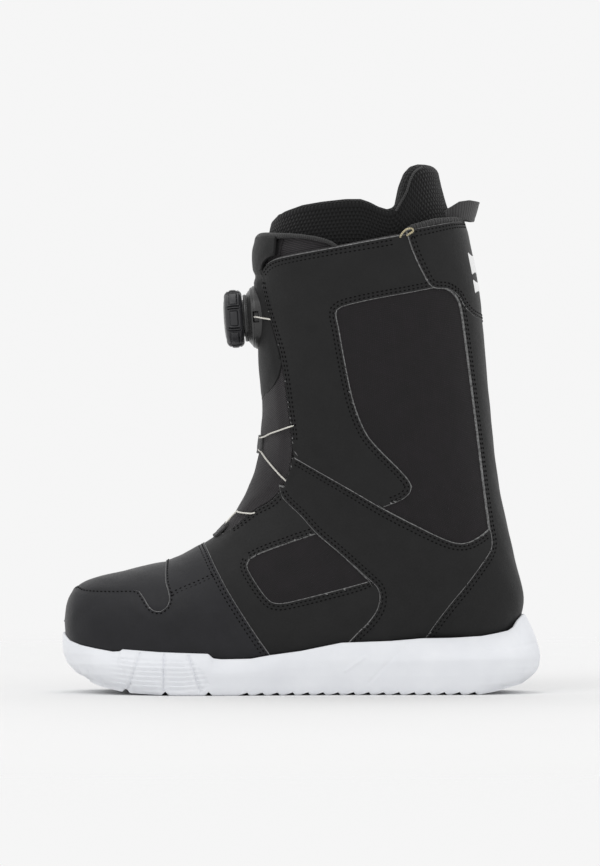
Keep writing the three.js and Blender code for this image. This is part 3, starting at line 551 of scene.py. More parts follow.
# ---------------------------------------------------------------- materials
class Graph:
    """A procedural material built round one Principled shader."""

    def __init__(self, name, roughness, specular=0.5, sheen=0.0, coat=0.0, metallic=0.0):
        self.material = bpy.data.materials.new(name)
        self.material.use_nodes = True
        self.tree = self.material.node_tree
        self.shader = self.tree.nodes["Principled BSDF"]
        self.shader.inputs["Roughness"].default_value = roughness
        self.shader.inputs["Specular IOR Level"].default_value = specular
        self.shader.inputs["Sheen Weight"].default_value = sheen
        self.shader.inputs["Coat Weight"].default_value = coat
        self.shader.inputs["Metallic"].default_value = metallic
        coords = self.node("TexCoord")
        self.place = coords.outputs["Object"]
        self.plane = coords.outputs["UV"]
        parts = self.node("SeparateXYZ", {0: self.plane})
        self.p, self.q = parts.outputs[0], parts.outputs[1]

    def node(self, kind, inputs=None, **settings):
        made = self.tree.nodes.new("ShaderNode" + kind)
        for key, value in settings.items():
            setattr(made, key, value)
        for key, value in (inputs or {}).items():
            if isinstance(value, bpy.types.NodeSocket):
                self.tree.links.new(value, made.inputs[key])
            else:
                made.inputs[key].default_value = value
        return made

    def math(self, operation, a, b=0.0):
        return self.node("Math", {0: a, 1: b}, operation=operation).outputs[0]

    def noise(self, scale, detail=2.0, roughness=0.5):
        return self.node("TexNoise", {"Vector": self.place, "Scale": scale, "Detail": detail,
                                      "Roughness": roughness}).outputs[0]

    def cells(self, scale):
        return self.node("TexVoronoi", {"Vector": self.place, "Scale": scale}).outputs["Distance"]

    def stripes(self, coordinate, pitch, phase=0.0):
        """A sine between 0 and 1 along one coordinate, pitch in millimetres."""
        turn = self.math("MULTIPLY", coordinate, 2 * PI / (pitch * MM))
        wave = self.math("SINE", self.math("ADD", turn, phase))
        return self.math("MULTIPLY", self.math("ADD", wave, 1.0), 0.5)

    def spread(self, value, low, high, to_low=0.0, to_high=1.0):
        return self.node("MapRange", {"Value": value, "From Min": low, "From Max": high,
                                      "To Min": to_low, "To Max": to_high}).outputs[0]

    def colour(self, factor, low, high):
        mix = self.node("Mix", {0: factor, 6: (*low, 1.0), 7: (*high, 1.0)}, data_type="RGBA")
        self.tree.links.new(mix.outputs[2], self.shader.inputs["Base Color"])

    def rough(self, factor, low, high):
        self.tree.links.new(self.spread(factor, 0.3, 0.7, low, high),
                            self.shader.inputs["Roughness"])

    def bump(self, height, millimetres, before=None):
        inputs = {"Height": height, "Distance": millimetres * MM, "Strength": 1.0}
        if before is not None:
            inputs["Normal"] = before
        made = self.node("Bump", inputs).outputs[0]
        self.tree.links.new(made, self.shader.inputs["Normal"])
        return made


def grey(value, warm=0.0, blue=0.0):
    return (value * (1 + warm), value, value * (1 + warm * 0.6 + blue))


def leather(name, value, roughness, grain=0.05, blue=0.02):
    g = Graph(name, roughness, specular=0.23, sheen=0.01)
    patch = g.noise(70, 4, 0.6)
    g.colour(g.spread(patch, 0.3, 0.7), grey(value * 0.86, blue=blue),
             grey(value * 1.16, blue=blue))
    g.rough(g.noise(900, 3), roughness - 0.06, roughness + 0.08)
    soft = g.bump(g.noise(120, 3, 0.55), 0.22)
    cell = g.math("ADD", g.math("MULTIPLY", g.cells(1500), 0.7), g.noise(2600, 2))
    g.bump(cell, grain, soft)
    return g.material


def cut_edge_and_highlight():
    """The raw edge of the coated leather, worn unevenly, painted lighter partly as the highlight
    along its rounded edge.
    """
    g = Graph("cut_edge_and_highlight", 0.62, specular=0.4)
    g.colour(g.spread(g.noise(700, 4, 0.7), 0.32, 0.68), grey(0.05), grey(0.28))
    g.bump(g.noise(1500, 2), 0.08)
    return g.material


def ripstop(name, value, pitch=1.15):
    g = Graph(name, 0.72, specular=0.2, sheen=0.06)
    wobble = g.math("MULTIPLY", g.noise(260, 2), 0.9 * MM)
    weft = g.stripes(g.math("ADD", g.p, wobble), pitch)
    warp = g.stripes(g.math("ADD", g.q, wobble), pitch * 0.72)
    heavy = g.math("MAXIMUM", g.math("POWER", g.stripes(g.p, 5.4), 24.0),
                   g.math("POWER", g.stripes(g.q, 5.4), 24.0))
    height = g.math("ADD", g.math("MULTIPLY", weft, warp), g.math("MULTIPLY", heavy, 0.15))
    tone = g.math("ADD", g.math("MULTIPLY", height, 0.6), g.math("MULTIPLY", g.noise(90, 4), 0.6))
    g.colour(g.spread(tone, 0.25, 0.95), grey(value * 0.72, warm=0.06),
             (value * 1.45, value * 1.15, value * 1.4))
    g.bump(height, 0.12)
    return g.material


def ribbed(name, value, pitch=2.0, slant=0.35, depth=0.25):
    """A textile of fine slanted ribs."""
    g = Graph(name, 0.75, specular=0.3, sheen=0.15)
    along = g.math("ADD", g.p, g.math("MULTIPLY", g.q, slant))
    along = g.math("ADD", along, g.math("MULTIPLY", g.noise(150, 2), 0.8 * MM))
    rib = g.stripes(along, pitch)
    cross = g.stripes(g.q, pitch * 0.45)
    height = g.math("ADD", rib, g.math("MULTIPLY", cross, 0.25))
    g.colour(g.spread(height, 0.1, 1.1), grey(value * 0.45),
             (value * 1.5, value * 1.28, value * 1.45))
    g.bump(height, depth)
    return g.material


def spacer_mesh(name, value, pitch=2.1, depth=0.35):
    """A knitted honeycomb: three sets of ridges at 60 degrees with dark cells between them."""
    g = Graph(name, 0.8, specular=0.14, sheen=0.08)
    total = None
    for turn in (0, 60, 120):
        a = math.radians(turn)
        along = g.math("ADD", g.math("MULTIPLY", g.p, math.cos(a)),
                       g.math("MULTIPLY", g.q, math.sin(a)))
        wave = g.stripes(along, pitch * 0.866)
        total = wave if total is None else g.math("ADD", total, wave)
    cell = g.spread(total, 0.75, 2.2, 1, 0)
    fuzz = g.math("MULTIPLY", g.noise(1800, 2), 0.3)
    height = g.math("ADD", cell, fuzz)
    g.colour(g.spread(height, 0.2, 1.1), grey(value * 0.35), grey(value * 1.4, blue=0.03))
    g.bump(height, depth)
    return g.material


def webbing(name, value, pitch=1.7, depth=0.25, warm=0.02, blue=0.0):
    """Woven tape with ribs across and a fine twill."""
    g = Graph(name, 0.7, specular=0.35, sheen=0.15)
    rib = g.stripes(g.p, pitch)
    twill = g.stripes(g.math("ADD", g.p, g.q), 0.7)
    height = g.math("ADD", rib, g.math("MULTIPLY", twill, 0.35))
    g.colour(g.spread(g.math("ADD", height, g.noise(800, 2)), 0.5, 1.6),
             grey(value * 0.6, warm, blue), grey(value * 1.4, warm, blue))
    g.bump(height, depth)
    return g.material


def moulded_rubber(name, low, high, roughness, grain=0.04):
    g = Graph(name, roughness, specular=0.4)
    g.colour(g.spread(g.noise(35, 3), 0.3, 0.7), low, high)
    g.rough(g.noise(300, 3), roughness - 0.05, roughness + 0.06)
    g.bump(g.noise(1800, 2), grain)
    return g.material


def satin_plastic(name, value, roughness):
    g = Graph(name, roughness, specular=0.5, coat=0.08)
    g.colour(g.spread(g.noise(50, 2), 0.3, 0.7), grey(value * 0.9), grey(value * 1.12))
    g.rough(g.noise(400, 3), roughness - 0.05, roughness + 0.07)
    g.bump(g.noise(2400, 2), 0.02)
    return g.material


def thread_with_hole_shade(name, value):
    # Dark thread, made darker than the leather as painted shade of the stitch holes.
    g = Graph(name, 0.7, specular=0.06)
    g.colour(g.noise(1500, 2), grey(value * 0.7), grey(value * 1.3))
    g.bump(g.noise(4000, 2), 0.06)
    return g.material


def cable(name):
    """Wire rope in a pale coating: strands wind along it."""
    g = Graph(name, 0.42, specular=0.5)
    strand = g.stripes(g.math("ADD", g.p, g.math("MULTIPLY", g.q, 0.6)), 0.9)
    g.colour(strand, (0.6, 0.58, 0.52), (0.9, 0.88, 0.82))
    g.bump(strand, 0.12)
    return g.material


def metal(name):
    g = Graph(name, 0.35, metallic=1.0)
    g.colour(g.noise(200, 2), grey(0.45), grey(0.62))
    g.rough(g.noise(600, 2), 0.28, 0.45)
    g.bump(g.noise(3000, 2), 0.02)
    return g.material


LEATHER = leather("shell_leather", 0.0085, 0.55)
TOE_LEATHER = leather("toe_leather", 0.0135, 0.47, grain=0.04, blue=0.16)
# The pale cut edge: its lightness is partly a painted highlight on the panels' rounded edges.
CUT_EDGE_AND_HIGHLIGHT = cut_edge_and_highlight()
RIPSTOP = ripstop("ripstop", 0.011)
TONGUE_WEAVE = ribbed("tongue_weave", 0.02, pitch=1.9, slant=0.45)
KNIT = ribbed("brushed_knit", 0.016, pitch=0.9, slant=0.0, depth=0.1)
MESH = spacer_mesh("liner_mesh", 0.0075, pitch=3.1, depth=0.6)
WEBBING = webbing("webbing", 0.04)
BINDING = webbing("binding_tape", 0.02, pitch=1.4, depth=0.3)
RUBBER = moulded_rubber("white_rubber", (0.76, 0.775, 0.81), (0.82, 0.835, 0.865), 0.55)
DIAL_PLASTIC = satin_plastic("dial_plastic", 0.02, 0.3)
GRIP = moulded_rubber("dial_grip", grey(0.02, blue=0.1), grey(0.028, blue=0.1), 0.34, grain=0.03)
# Stitch colour: dark thread plus the painted shade of the stitch holes.
THREAD_AND_HOLE_SHADE = thread_with_hole_shade("dark_thread_and_hole_shade", 0.003)
CABLE = cable("lace_cable")
STEEL = metal("screw_steel")
PRINT = moulded_rubber("white_print", (0.78, 0.78, 0.78), (0.86, 0.86, 0.86), 0.6)
FOAM = moulded_rubber("foam", grey(0.26), grey(0.34), 0.85, grain=0.15)
BOARD = moulded_rubber("fibre_board", (0.30, 0.28, 0.23), (0.4, 0.37, 0.31), 0.85, grain=0.1)
CORD = webbing("beige_cord", 0.36, pitch=1.2, warm=0.14, blue=-0.45)

for node, look in {
    "outsole": RUBBER, "midsole": FOAM, "heel_cushion": FOAM, "shank": DIAL_PLASTIC,
    "lasting_board": BOARD, "lining_foot": KNIT, "lining_shaft": KNIT, "liner_foot": MESH,
    "liner_cuff": MESH, "liner_tongue": MESH, "footbed": FOAM, "tongue_foam": KNIT,
    "spool": DIAL_PLASTIC, "drive_disc": DIAL_PLASTIC, "axle_screw": STEEL,
    "loop_anchor_left": WEBBING, "loop_anchor_right": WEBBING, "dial_base": DIAL_PLASTIC,
    "dial_knob": DIAL_PLASTIC, "knob_grip": GRIP, "pull_loop": WEBBING, "collar_binding": BINDING,
    "heel_mark": PRINT, "tongue_lace_guide": WEBBING, "vamp_lace_guide": WEBBING,
    **{f"lace_{run}_{side}": CABLE for side in ("left", "right")
       for run in ("dial", "cuff_run", "upper", "lower", "ankle_run", "instep")},
}.items():
    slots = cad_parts[node].data.materials
    slots.clear()
    slots.append(look)


# ---------------------------------------------------------------- stage
def stage():
    camera = bpy.data.cameras.new("camera")
    camera.lens = LENS
    camera.sensor_width = 36
    holder = bpy.data.objects.new("camera", camera)
    away = LENS / 36 * VIEW_HEIGHT * MM
    holder.location = (VIEW_CENTRE[0] * MM, -away, VIEW_CENTRE[1] * MM)
    holder.rotation_euler = (PI / 2, 0, 0)
    bpy.context.scene.collection.objects.link(holder)
    bpy.context.scene.camera = holder

    world = bpy.data.worlds.new("pale_room")
    bpy.context.scene.world = world
    world.use_nodes = True
    back = world.node_tree.nodes["Background"]
    back.inputs["Color"].default_value = (0.92, 0.92, 0.92, 1)
    back.inputs["Strength"].default_value = 1.0

    rings, sides = 24, 96
    verts = [(0, 0, 0)]
    for i in range(1, rings + 1):
        r = 1.6 * (i / rings) ** 1.4
        verts += [(r * math.cos(2 * PI * k / sides), r * math.sin(2 * PI * k / sides), 0)
                  for k in range(sides)]
    faces = [(0, 1 + k, 1 + (k + 1) % sides) for k in range(sides)]
    faces += [tuple(1 + i for i in f) for f in grid_faces(rings, sides, around=True)]
    g = Graph("pale_floor", 0.9, specular=0.1)
    g.colour(g.noise(3, 2), (0.78, 0.78, 0.78), (0.8, 0.8, 0.8))
    g.bump(g.noise(500, 2), 0.02)
    reach = g.node("VectorMath", {0: g.place}, operation="LENGTH").outputs["Value"]
    fade = g.node("MapRange", {"Value": reach, "From Min": 0.25, "From Max": 1.35},
                  interpolation_type="SMOOTHSTEP").outputs[0]
    clear = g.node("BsdfTransparent").outputs[0]
    mix = g.node("MixShader", {0: fade, 1: g.shader.outputs[0], 2: clear}).outputs[0]
    output = g.tree.nodes["Material Output"]
    g.tree.links.new(mix, output.inputs["Surface"])
    floor = new_object("floor", verts, faces, [g.material])


def soft_light(name, at, aim, size, power):
    light = bpy.data.lights.new(name, "AREA")
    light.size = size
    light.energy = power
    lamp = bpy.data.objects.new(name, light)
    lamp.location = at
    lamp.rotation_euler = (Vector(aim) - Vector(at)).to_track_quat("-Z", "Y").to_euler()
    bpy.context.scene.collection.objects.link(lamp)


bpy.context.scene.view_settings.view_transform = "Standard"
stage()
soft_light("key", (-0.7, -1.0, 1.5), (0, 0, 0.15), 1.0, 5)
soft_light("fill", (1.1, -0.9, 0.9), (0, 0, 0.15), 1.2, 1.5)
soft_light("top", (0.0, 0.3, 1.8), (0, 0, 0.1), 1.2, 4)
soft_light("back", (0.5, 1.3, 1.0), (0, 0, 0.15), 1.2, 2)

# ---------------------------------------------------------------- seams of the side view
TOE_TOP = [(-149, 73.5), (-146.9, 71.7), (-143, 69.4), (-137.9, 67.2), (-122.6, 66.6),
           (-106.6, 66.9), (-102.7, 65.9), (-99.5, 61.4), (-96.3, 56.3), (-93.1, 53.8),
           (-89.3, 53.4), (-85.4, 56.3), (-83.8, 60.8), (-84.8, 66.6), (-86.4, 72),
           (-86.9, 81.3), (-86.7, 89)]
STRAP_LINE = [(-83.6, 64.4), (-77.8, 67.2), (-65, 72.6), (-55.5, 77.2)]
VAMP_EDGE = [(-64, 99), (-60.8, 94.1), (-54.1, 80.6), (-45.8, 65.3), (-36.2, 49.9),
             (-27.8, 37.1), (-19.5, 25), (-15, 18)]
QUARTER_WINDOW = [(-33, 86.4), (-25.3, 90.2), (-7.4, 96.6), (9.3, 102.1), (24.6, 89),
                  (42.6, 72), (24.6, 67.2), (-1, 60.8), (-11.8, 58.6), (-17.6, 58.9),
                  (-21.4, 61.4), (-27.8, 69.8), (-33.6, 79.4), (-34.6, 82.6)]
ANKLE_FRONT = [(-15, 133.1), (-12.5, 124.8), (-1, 113.3), (9.3, 102.1), (24.6, 89),
               (43.8, 71.7), (47.7, 67.8), (49.3, 62.1), (47.7, 54.4), (42.6, 46.7),
               (36.2, 40.3), (29.1, 32.6), (22, 24)]
ANKLE_TOP = [(-9.3, 151.7), (-5.4, 150.4), (11.8, 140.8), (31, 129.9), (50.9, 118.4),
             (69.4, 108.8), (88.6, 99.5), (98.2, 96.3), (105.3, 96.6), (113, 100.2),
             (119.4, 105)]
COUNTER_EDGE = [(119.4, 105), (120.6, 98.6), (120, 92.2), (114.2, 83.2), (104.6, 70.4),
                (95, 58.9), (86.1, 47.4), (77.8, 35.2), (72, 26)]
WINDOW_IN = [(50.9, 118.4), (63, 123.2), (68.2, 127.4), (69.8, 131.8), (67.5, 136.3),
             (61.1, 143.4), (50.2, 154.2), (41.9, 163.8), (36.2, 175.4), (31.7, 189.4),
             (26.6, 213.8), (23.4, 231.7), (21.8, 239.4), (22.1, 242.9), (25.3, 245.1),
             (37.4, 248.3), (53.4, 251.5), (69.4, 254.4), (83.5, 257.3)]
WINDOW_BACK = [(91.2, 257), (96.3, 254.1), (99.5, 249.6), (101.4, 243.2), (104, 225.3),
               (107.8, 196.5), (112.3, 161.3), (116.2, 129.3), (119.4, 105)]
REAR_EDGE = [(66.2, 292), (70.7, 279), (77.1, 265.6), (81, 259.3), (84.5, 257.2),
             (92.5, 256.6), (98.9, 252.8), (103.4, 245.8), (109.1, 240), (117.5, 236.2)]
RIM_FRONT = [(-26, 265.5), (-25.4, 269.4), (-23.2, 272.6), (-19.4, 275.2), (-15, 276.6),
             (-8, 278), (18.2, 282.6), (43.8, 287.4), (63, 290.9)]
RIM_BACK = [(66.2, 293.8), (82.2, 297), (98.2, 300.2), (105.3, 300.8)]
THROAT_LOW = [(-52, 102.6), (-48.3, 103.7), (-41.9, 108.2), (-35.5, 113.3), (-29.8, 117.8),
              (-19.5, 123.5), (-11.8, 132.5), (-8, 142.1), (-6.4, 154.9)]
THROAT_HIGH = [(-6.4, 154.9), (-7.4, 167.7), (-9.3, 181.8), (-11.2, 196.5), (-14.4, 215.7),
               (-18.9, 231.7), (-23.4, 247.7), (-25.7, 259), (-26, 265.5)]
BIB_LOW = [(-34, 188.2), (-30, 188.4), (-25.3, 189.4), (-20.2, 192.6), (-16.3, 198.4),
           (-14.1, 206.1), (-13.1, 212.5)]


def joined(*parts):
    """Plane lines and side view point lists end to end."""
    return np.concatenate(parts)


def both_halves(left):
    return joined(left, mirrored(left))


def place(piece, body, slot, *nodes):
    if nodes:
        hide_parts(*nodes)
    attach(piece, body)
    return piece


def pair(name, outline, level, front, materials, nodes=(), slot="shell_leather", holes=()):
    """A left panel and its mirror image on the right."""
    for side in ("left", "right"):
        line = outline if side == "left" else mirrored(outline)
        cut = holes if side == "left" else [mirrored(h) for h in holes]
        piece = panel(f"{name}_{side}", line, level, front, materials, holes=cut)
        place(piece, "boot", slot, *(f"{n}_{side}" for n in nodes))


stitching = Thread()
LEATHERS = [LEATHER, CUT_EDGE_AND_HIGHLIGHT]

# ---------------------------------------------------------------- toe
toe_line = settled(settled(side_line(TOE_TOP, True))[::-1])[::-1]
toe_ring = both_halves(toe_line)
wide = moved(tidy_ring(toe_ring), -4 * MM, True, closed=True)
place(panel("toe_top_panel", wide, LEVEL["toe_top"], True, [TOE_LEATHER, CUT_EDGE_AND_HIGHLIGHT]),
      "boot", "shell_leather", "toe_top")

vamp_line = settled(side_line(VAMP_EDGE, True)[::-1])[::-1]


def rand_half():
    """The rand's left half: round the tip, back along the sole and up the vamp's edge."""
    end_u, end_t = (float(value[0]) for value in locate(np.array(VAMP_EDGE[-1:]) * MM))
    foot_u = np.linspace(0.0, end_u, 90)[:-1]
    foot_t = np.interp(foot_u, [0, 3, 5, end_u], [0, 0, 0.9, end_t])
    tip_line = unroll(np.zeros(30), np.linspace(PI, 2 * PI, 31)[:-1], True)
    return joined(tip_line, unroll(foot_u, 2 * PI - foot_t, True), vamp_line[::-1])


rand_ring = both_halves(rand_half())
place(panel("toe_rand", rand_ring, LEVEL["rand"], True, [TOE_LEATHER, CUT_EDGE_AND_HIGHLIGHT], holes=[toe_ring],
            closed_below=1.2),
      "boot", "shell_leather", "toe_cap", "vamp_strap")


def toe_tip(sides=64):
    """A small dome that closes the rand at the very front."""
    turns = np.linspace(-PI, PI, sides + 1)[:-1]
    rim = at_depth(np.full(sides, 0.1), turns, np.full(sides, 0.12 * MM))
    middle = rim.mean(0)
    rows = []
    for share in (1, 0.95, 0.85, 0.7, 0.5, 0.3, 0.1, 0.01):
        row = middle + (rim - middle) * share
        row[:, 0] -= 0.5 * MM * (1 - share**2)
        rows.append(row)
    verts = np.concatenate(rows)
    faces = grid_faces(len(rows), sides, around=True)
    return new_object("toe_tip", verts, faces, [TOE_LEATHER], uv=verts[:, [1, 2]])


place(toe_tip(), "boot", "shell_leather")

# ---------------------------------------------------------------- quarter and its window
throat_low = side_line(THROAT_LOW[:7], True)
ankle_under = side_line([(x + 4.5, z + 1.5) for x, z in ANKLE_FRONT], True)
vamp_under = side_line([(x - 4.5, z - 1.5) for x, z in VAMP_EDGE], True)
sole_under = side_line([(26, 26), (10, 21), (-10, 18), (-22, 17)], True)
quarter_left = joined(throat_low, ankle_under, sole_under, vamp_under[::-1])
window_ring = side_line(QUARTER_WINDOW, True, closed=True)
quarter_ring = both_halves(quarter_left)
place(panel("quarter_panel", quarter_ring, LEVEL["quarter"], True, LEATHERS,
            holes=[window_ring, mirrored(window_ring)]),
      "boot", "shell_leather", "quarter_left", "quarter_right")
window_wide = moved(tidy_ring(window_ring), -4 * MM, True, closed=True)
pair("quarter_ripstop", window_wide, LEVEL["window"], True, [RIPSTOP, CUT_EDGE_AND_HIGHLIGHT],
     nodes=["quarter_window"], slot="ripstop")

# ---------------------------------------------------------------- ankle, cuff and shaft window
ankle_front = side_line(ANKLE_FRONT, False)
ankle_top = side_line(ANKLE_TOP, False)
throat_mid = side_line([(-11.8, 132.5), (-8, 142.1), (-6.6, 149.6)], False)
counter_under = side_line([(x + 4.5, z - 1) for x, z in COUNTER_EDGE], False)
ankle_foot = side_line([(72, 24), (50, 23.5), (30, 22), (22, 22)], False)
ankle_ring = joined(ankle_front[:1], throat_mid, ankle_top[3:], counter_under, ankle_foot,
                    ankle_front[::-1][:-1])
pair("ankle_leather", ankle_ring, LEVEL["ankle"], False, LEATHERS, nodes=["ankle_panel"])

throat_high = side_line(THROAT_HIGH, False)
rim_front = side_line(RIM_FRONT, False)
window_in = side_line(WINDOW_IN, False)
ankle_over = [(50.9, 114), (31, 125), (11.8, 136), (-5, 146)]
cuff_ring = joined(throat_high, rim_front[1:],
                   side_line([(71, 292.5), (76, 279), (82.5, 266), (88, 256)], False),
                   window_in[::-1], side_line(ankle_over, False))
pair("cuff_leather", cuff_ring, LEVEL["cuff"], False, LEATHERS, nodes=["cuff_panel"])

shaft_ring = joined(
    side_line([(45, 117), (58, 127), (64, 131), (62, 137), (47, 152), (38, 162), (32, 175),
               (27.5, 190), (22, 214), (18.5, 232), (17.5, 243), (21, 249), (54, 256), (84, 262)],
              False),
    side_line([(97, 260), (105, 245), (108, 225), (112, 196), (116, 161), (119.5, 129)], False),
    side_line([(122, 104), (112, 95), (98, 91), (86, 95), (66, 105)], False))
pair("shaft_ripstop", shaft_ring, LEVEL["window"], False, [RIPSTOP, CUT_EDGE_AND_HIGHLIGHT],
     nodes=["shaft_window"], slot="ripstop")

# ---------------------------------------------------------------- heel counter and rear cuff
counter_edge = side_line(COUNTER_EDGE, False)
window_back = side_line(WINDOW_BACK, False)
counter_foot = side_line([(76, 24), (95, 26), (114, 28), (127, 31), (134, 35), (140, 43)], False)
counter_left = joined(counter_foot[::-1], counter_edge[::-1], window_back[::-1],
                      side_line([(91.2, 259), (95, 262), (106, 264), (115, 262)], False))
counter_ring = both_halves(counter_left)
place(panel("heel_counter_panel", counter_ring, LEVEL["counter"], False, LEATHERS),
      "boot", "shell_leather", "heel_counter")
rear_edge = side_line(REAR_EDGE, False)
rim_back = side_line(RIM_BACK, False)
rear_ring = both_halves(joined(rear_edge[::-1], rim_back))
place(panel("rear_cuff_panel", rear_ring, LEVEL["rear_cuff"], False, LEATHERS),
      "boot", "shell_leather", "rear_cuff")

# ---------------------------------------------------------------- stitching
stitching.double(vamp_line[3:-3], True, LEVEL["rand"], rand_ring)
stitching.double(toe_line[8:], True, LEVEL["rand"], rand_ring, toe_ring, rows=(1.7,))
strap = side_line(STRAP_LINE, True)
stitching.double(strap, True, LEVEL["rand"], rand_ring, rows=(0.0, 2.2))
window_loop = joined(window_ring, window_ring[:1])
stitching.double(window_loop, True, LEVEL["quarter"], quarter_ring, window_ring)
stitching.double(throat_low[6:], True, LEVEL["quarter"], quarter_ring)
stitching.double(ankle_front[3:-6], False, LEVEL["ankle"], ankle_ring)
stitching.double(ankle_top[4:-2], False, LEVEL["ankle"], ankle_ring)
stitching.double(window_in[4:], False, LEVEL["cuff"], cuff_ring)
stitching.double(rim_front[2:-4], False, LEVEL["cuff"], cuff_ring)
stitching.double(throat_high[4:-2], False, LEVEL["cuff"], cuff_ring)
stitching.double(window_back, False, LEVEL["counter"], counter_ring)
stitching.double(counter_edge, False, LEVEL["counter"], counter_ring)
stitching.double(rear_edge[2:], False, LEVEL["rear_cuff"], rear_ring)
stitching.double(rim_back[1:-1], False, LEVEL["rear_cuff"], rear_ring)

# ---------------------------------------------------------------- tongue
throat_line = joined(side_line(THROAT_LOW, True), side_line(THROAT_HIGH, True)[1:])
throat_ring_line = both_halves(throat_line)
inner_throat = moved(throat_line, THROAT_PLAY * MM, True)
if np.mean(np.abs(inner_throat[:, 1])) > np.mean(np.abs(throat_line[:, 1])):
    inner_throat = moved(throat_line, -THROAT_PLAY * MM, True)
inner_throat[:, 1] = np.maximum(inner_throat[:, 1], 0)


def throat_distance(points):
    return distance(points, throat_ring_line, closed=False)


def tongue_level(points):
    """High in the middle, dipping under the panels beside it."""
    near = ease(throat_distance(points) / (9 * MM))
    return (1.9 - 1.5 * near) * MM


def cut_at(line, z, above):
    """The part of a plane line on one side of a height."""
    u, t = roll(line, True)
    height = surface(u, t)[:, 2]
    return line[height > z * MM] if above else line[height < z * MM]


bib_low = settled(side_line(BIB_LOW, True)[::-1])[::-1]
low_side = cut_at(inner_throat, 214, False)
textile_foot = side_line([(-56, 99.5), (-50, 99.8), (-44, 103.5)], True)
textile_low = joined(textile_foot, low_side[8:])
textile_top = side_line([(-16.5, 217), (-19, 210), (-22, 200), (-34, 196)], True)
textile = panel("tongue_textile", both_halves(joined(textile_low, textile_top)), tongue_level,
                True, [TONGUE_WEAVE, TONGUE_WEAVE], swell=0.3)
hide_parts("tongue_lower", "tongue_fabric")
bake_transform(textile)


def bib_level(points):
    """Level with the panels at the throat, a little lower in the middle."""
    near = ease(throat_distance(points) / (7 * MM))
    return (1.3 - 1.3 * near) * MM


bib_side = cut_at(inner_throat, 212.5, True)
bib_ear = side_line([(-26.2, 268), (-25.4, 272.4), (-22.5, 276), (-17.8, 278.2), (-17.2, 290.4)],
                    True)
bib_top = side_line([(-17.2, 290.4), (-25, 290.6), (-33, 290.6)], True)
bib_ring = both_halves(joined(bib_low, bib_side, bib_ear[1:], bib_top[1:]))
bib = panel("tongue_bib_panel", bib_ring, bib_level, True, [LEATHER, LEATHER])
place(bib, "tongue", "shell_leather", "tongue_bib")


def strip(name, columns_u, columns_t, profile, materials, close=False):
    """A wall along a line of the boot. profile rows are (length down from the line, depth) in mm.

    A profile may be an array for each column. The first row is the outside.
    """
    profile = np.asarray(profile, float)
    if profile.ndim == 2:
        profile = np.repeat(profile[:, None, :], len(columns_u), 1)
    rows = []
    p = p_of(columns_u)
    stretch = p_stretch(columns_u, columns_t)
    for line in profile:
        u = u_of(p - line[:, 0] * MM / stretch)
        rows.append(at_depth(u, columns_t, line[:, 1] * MM))
    verts = np.concatenate(rows)
    count = len(columns_u)
    down = run_along(np.array([r[count // 2] for r in rows]))
    across = run_along(rows[0])
    uv = np.array([(d, a) for d in down for a in across])
    faces = grid_faces(len(rows), count, around=close)
    return new_object(name, verts, faces, materials, uv=uv, sharp=60)


def p_stretch(u, t):
    """How many metres of surface one metre of p stands for at each place."""
    step = 0.002
    here = surface(u, t)
    there = surface(u_of(p_of(u) - step), t)
    return np.maximum(np.linalg.norm(here - there, axis=-1) / step, 0.3)


# The wing: the tongue's thin side pieces, which fold like a gusset between tongue and cuff.
WING_TOP = [(-17.4, 290.6), (-10, 290.9), (-1, 289.9), (10.6, 287.8), (18.2, 285), (23.4, 281),
            (27, 276)]
wing_ring = both_halves(joined(
    side_line([(-31, 132), (-20, 132), (-2, 138), (4, 150)], True),
    side_line([(4, 150), (6, 200), (18, 255), (27, 276)], True)[1:],
    side_line(WING_TOP, True)[::-1][1:],
    side_line([(-17.4, 290.6), (-25, 289.5), (-32, 288)], True)[1:]))


def wing_level(points):
    """Under the tongue, and deeper towards the sides."""
    side = np.abs(surface(*roll(points, True))[:, 1])
    return (3.2 + 2.6 * np.clip((side - 22 * MM) / (16 * MM), 0, 1)) * MM


wings = panel("tongue_wings", wing_ring, wing_level, True, [TONGUE_WEAVE, BINDING], swell=0.3,
              grid=3.0)
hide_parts("tongue_wing_left", "tongue_wing_right")
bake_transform(wings)


# ---------------------------------------------------------------- collar lining and liner
def ring_columns(line, step=2.0):
    """Row and turn of evenly spaced points of a plane line given in back coordinates."""
    u, t = roll(line, False)
    at = surface(u, t)
    run = run_along(at)
    where = np.linspace(0, run[-1], int(run[-1] / (step * MM)))
    return np.interp(where, run, u), np.interp(where, run, t)


def round_top(outer, inner, lift, sides=9):
    """Half a circle over a wall between two depths, as (down, depth) rows."""
    middle, r = (outer + inner) / 2, (inner - outer) / 2
    return [(-lift - r * math.sin(a), middle - r * math.cos(a))
            for a in np.linspace(0, PI, sides)]


rim_u, rim_t = ring_columns(joined(rim_front[4:], rim_back, mirrored(rim_back)[1:],
                                   mirrored(rim_front)[1:-4]))
collar_profile = ([(84, 2.4), (40, 2.2), (12, 2.1), (3, 1.6)]
                  + round_top(1.5, 5.4, -1.2) + [(6, 5.6), (30, 5.4), (60, 5.4)])
collar = strip("collar_lining", rim_u, rim_t, collar_profile, [KNIT])
place(collar, "boot", "lining_textile", "lining_shaft")

LINER_TOP = [(-20.5, 300.5), (-16.3, 304.4), (-11.8, 307), (-1, 310.5), (11.8, 312.3),
             (27.8, 313.8), (37.4, 313.8), (43.2, 311.9), (49, 309), (54.7, 307.4),
             (58.4, 308.6), (61.5, 312), (64, 318.5), (66.6, 325), (70, 331.2), (74.5, 335),
             (79, 336.4), (83, 336.6)]
LINER_DEPTH = 8.0


def liner_columns(count):
    """For each turn, the row whose outer liner point reaches the liner's top line."""
    turns = np.linspace(-PI, PI, count + 1)[:-1]
    rows = np.linspace(17, LAST - 0.02, 260)
    us = []
    for turn in turns:
        at = at_depth(rows, np.full(len(rows), turn), np.full(len(rows), LINER_DEPTH * MM))
        gap = at[:, 2] / MM - table(LINER_TOP, at[:, 0] / MM)
        us.append(np.interp(0, gap, rows))
    return np.array(us), turns


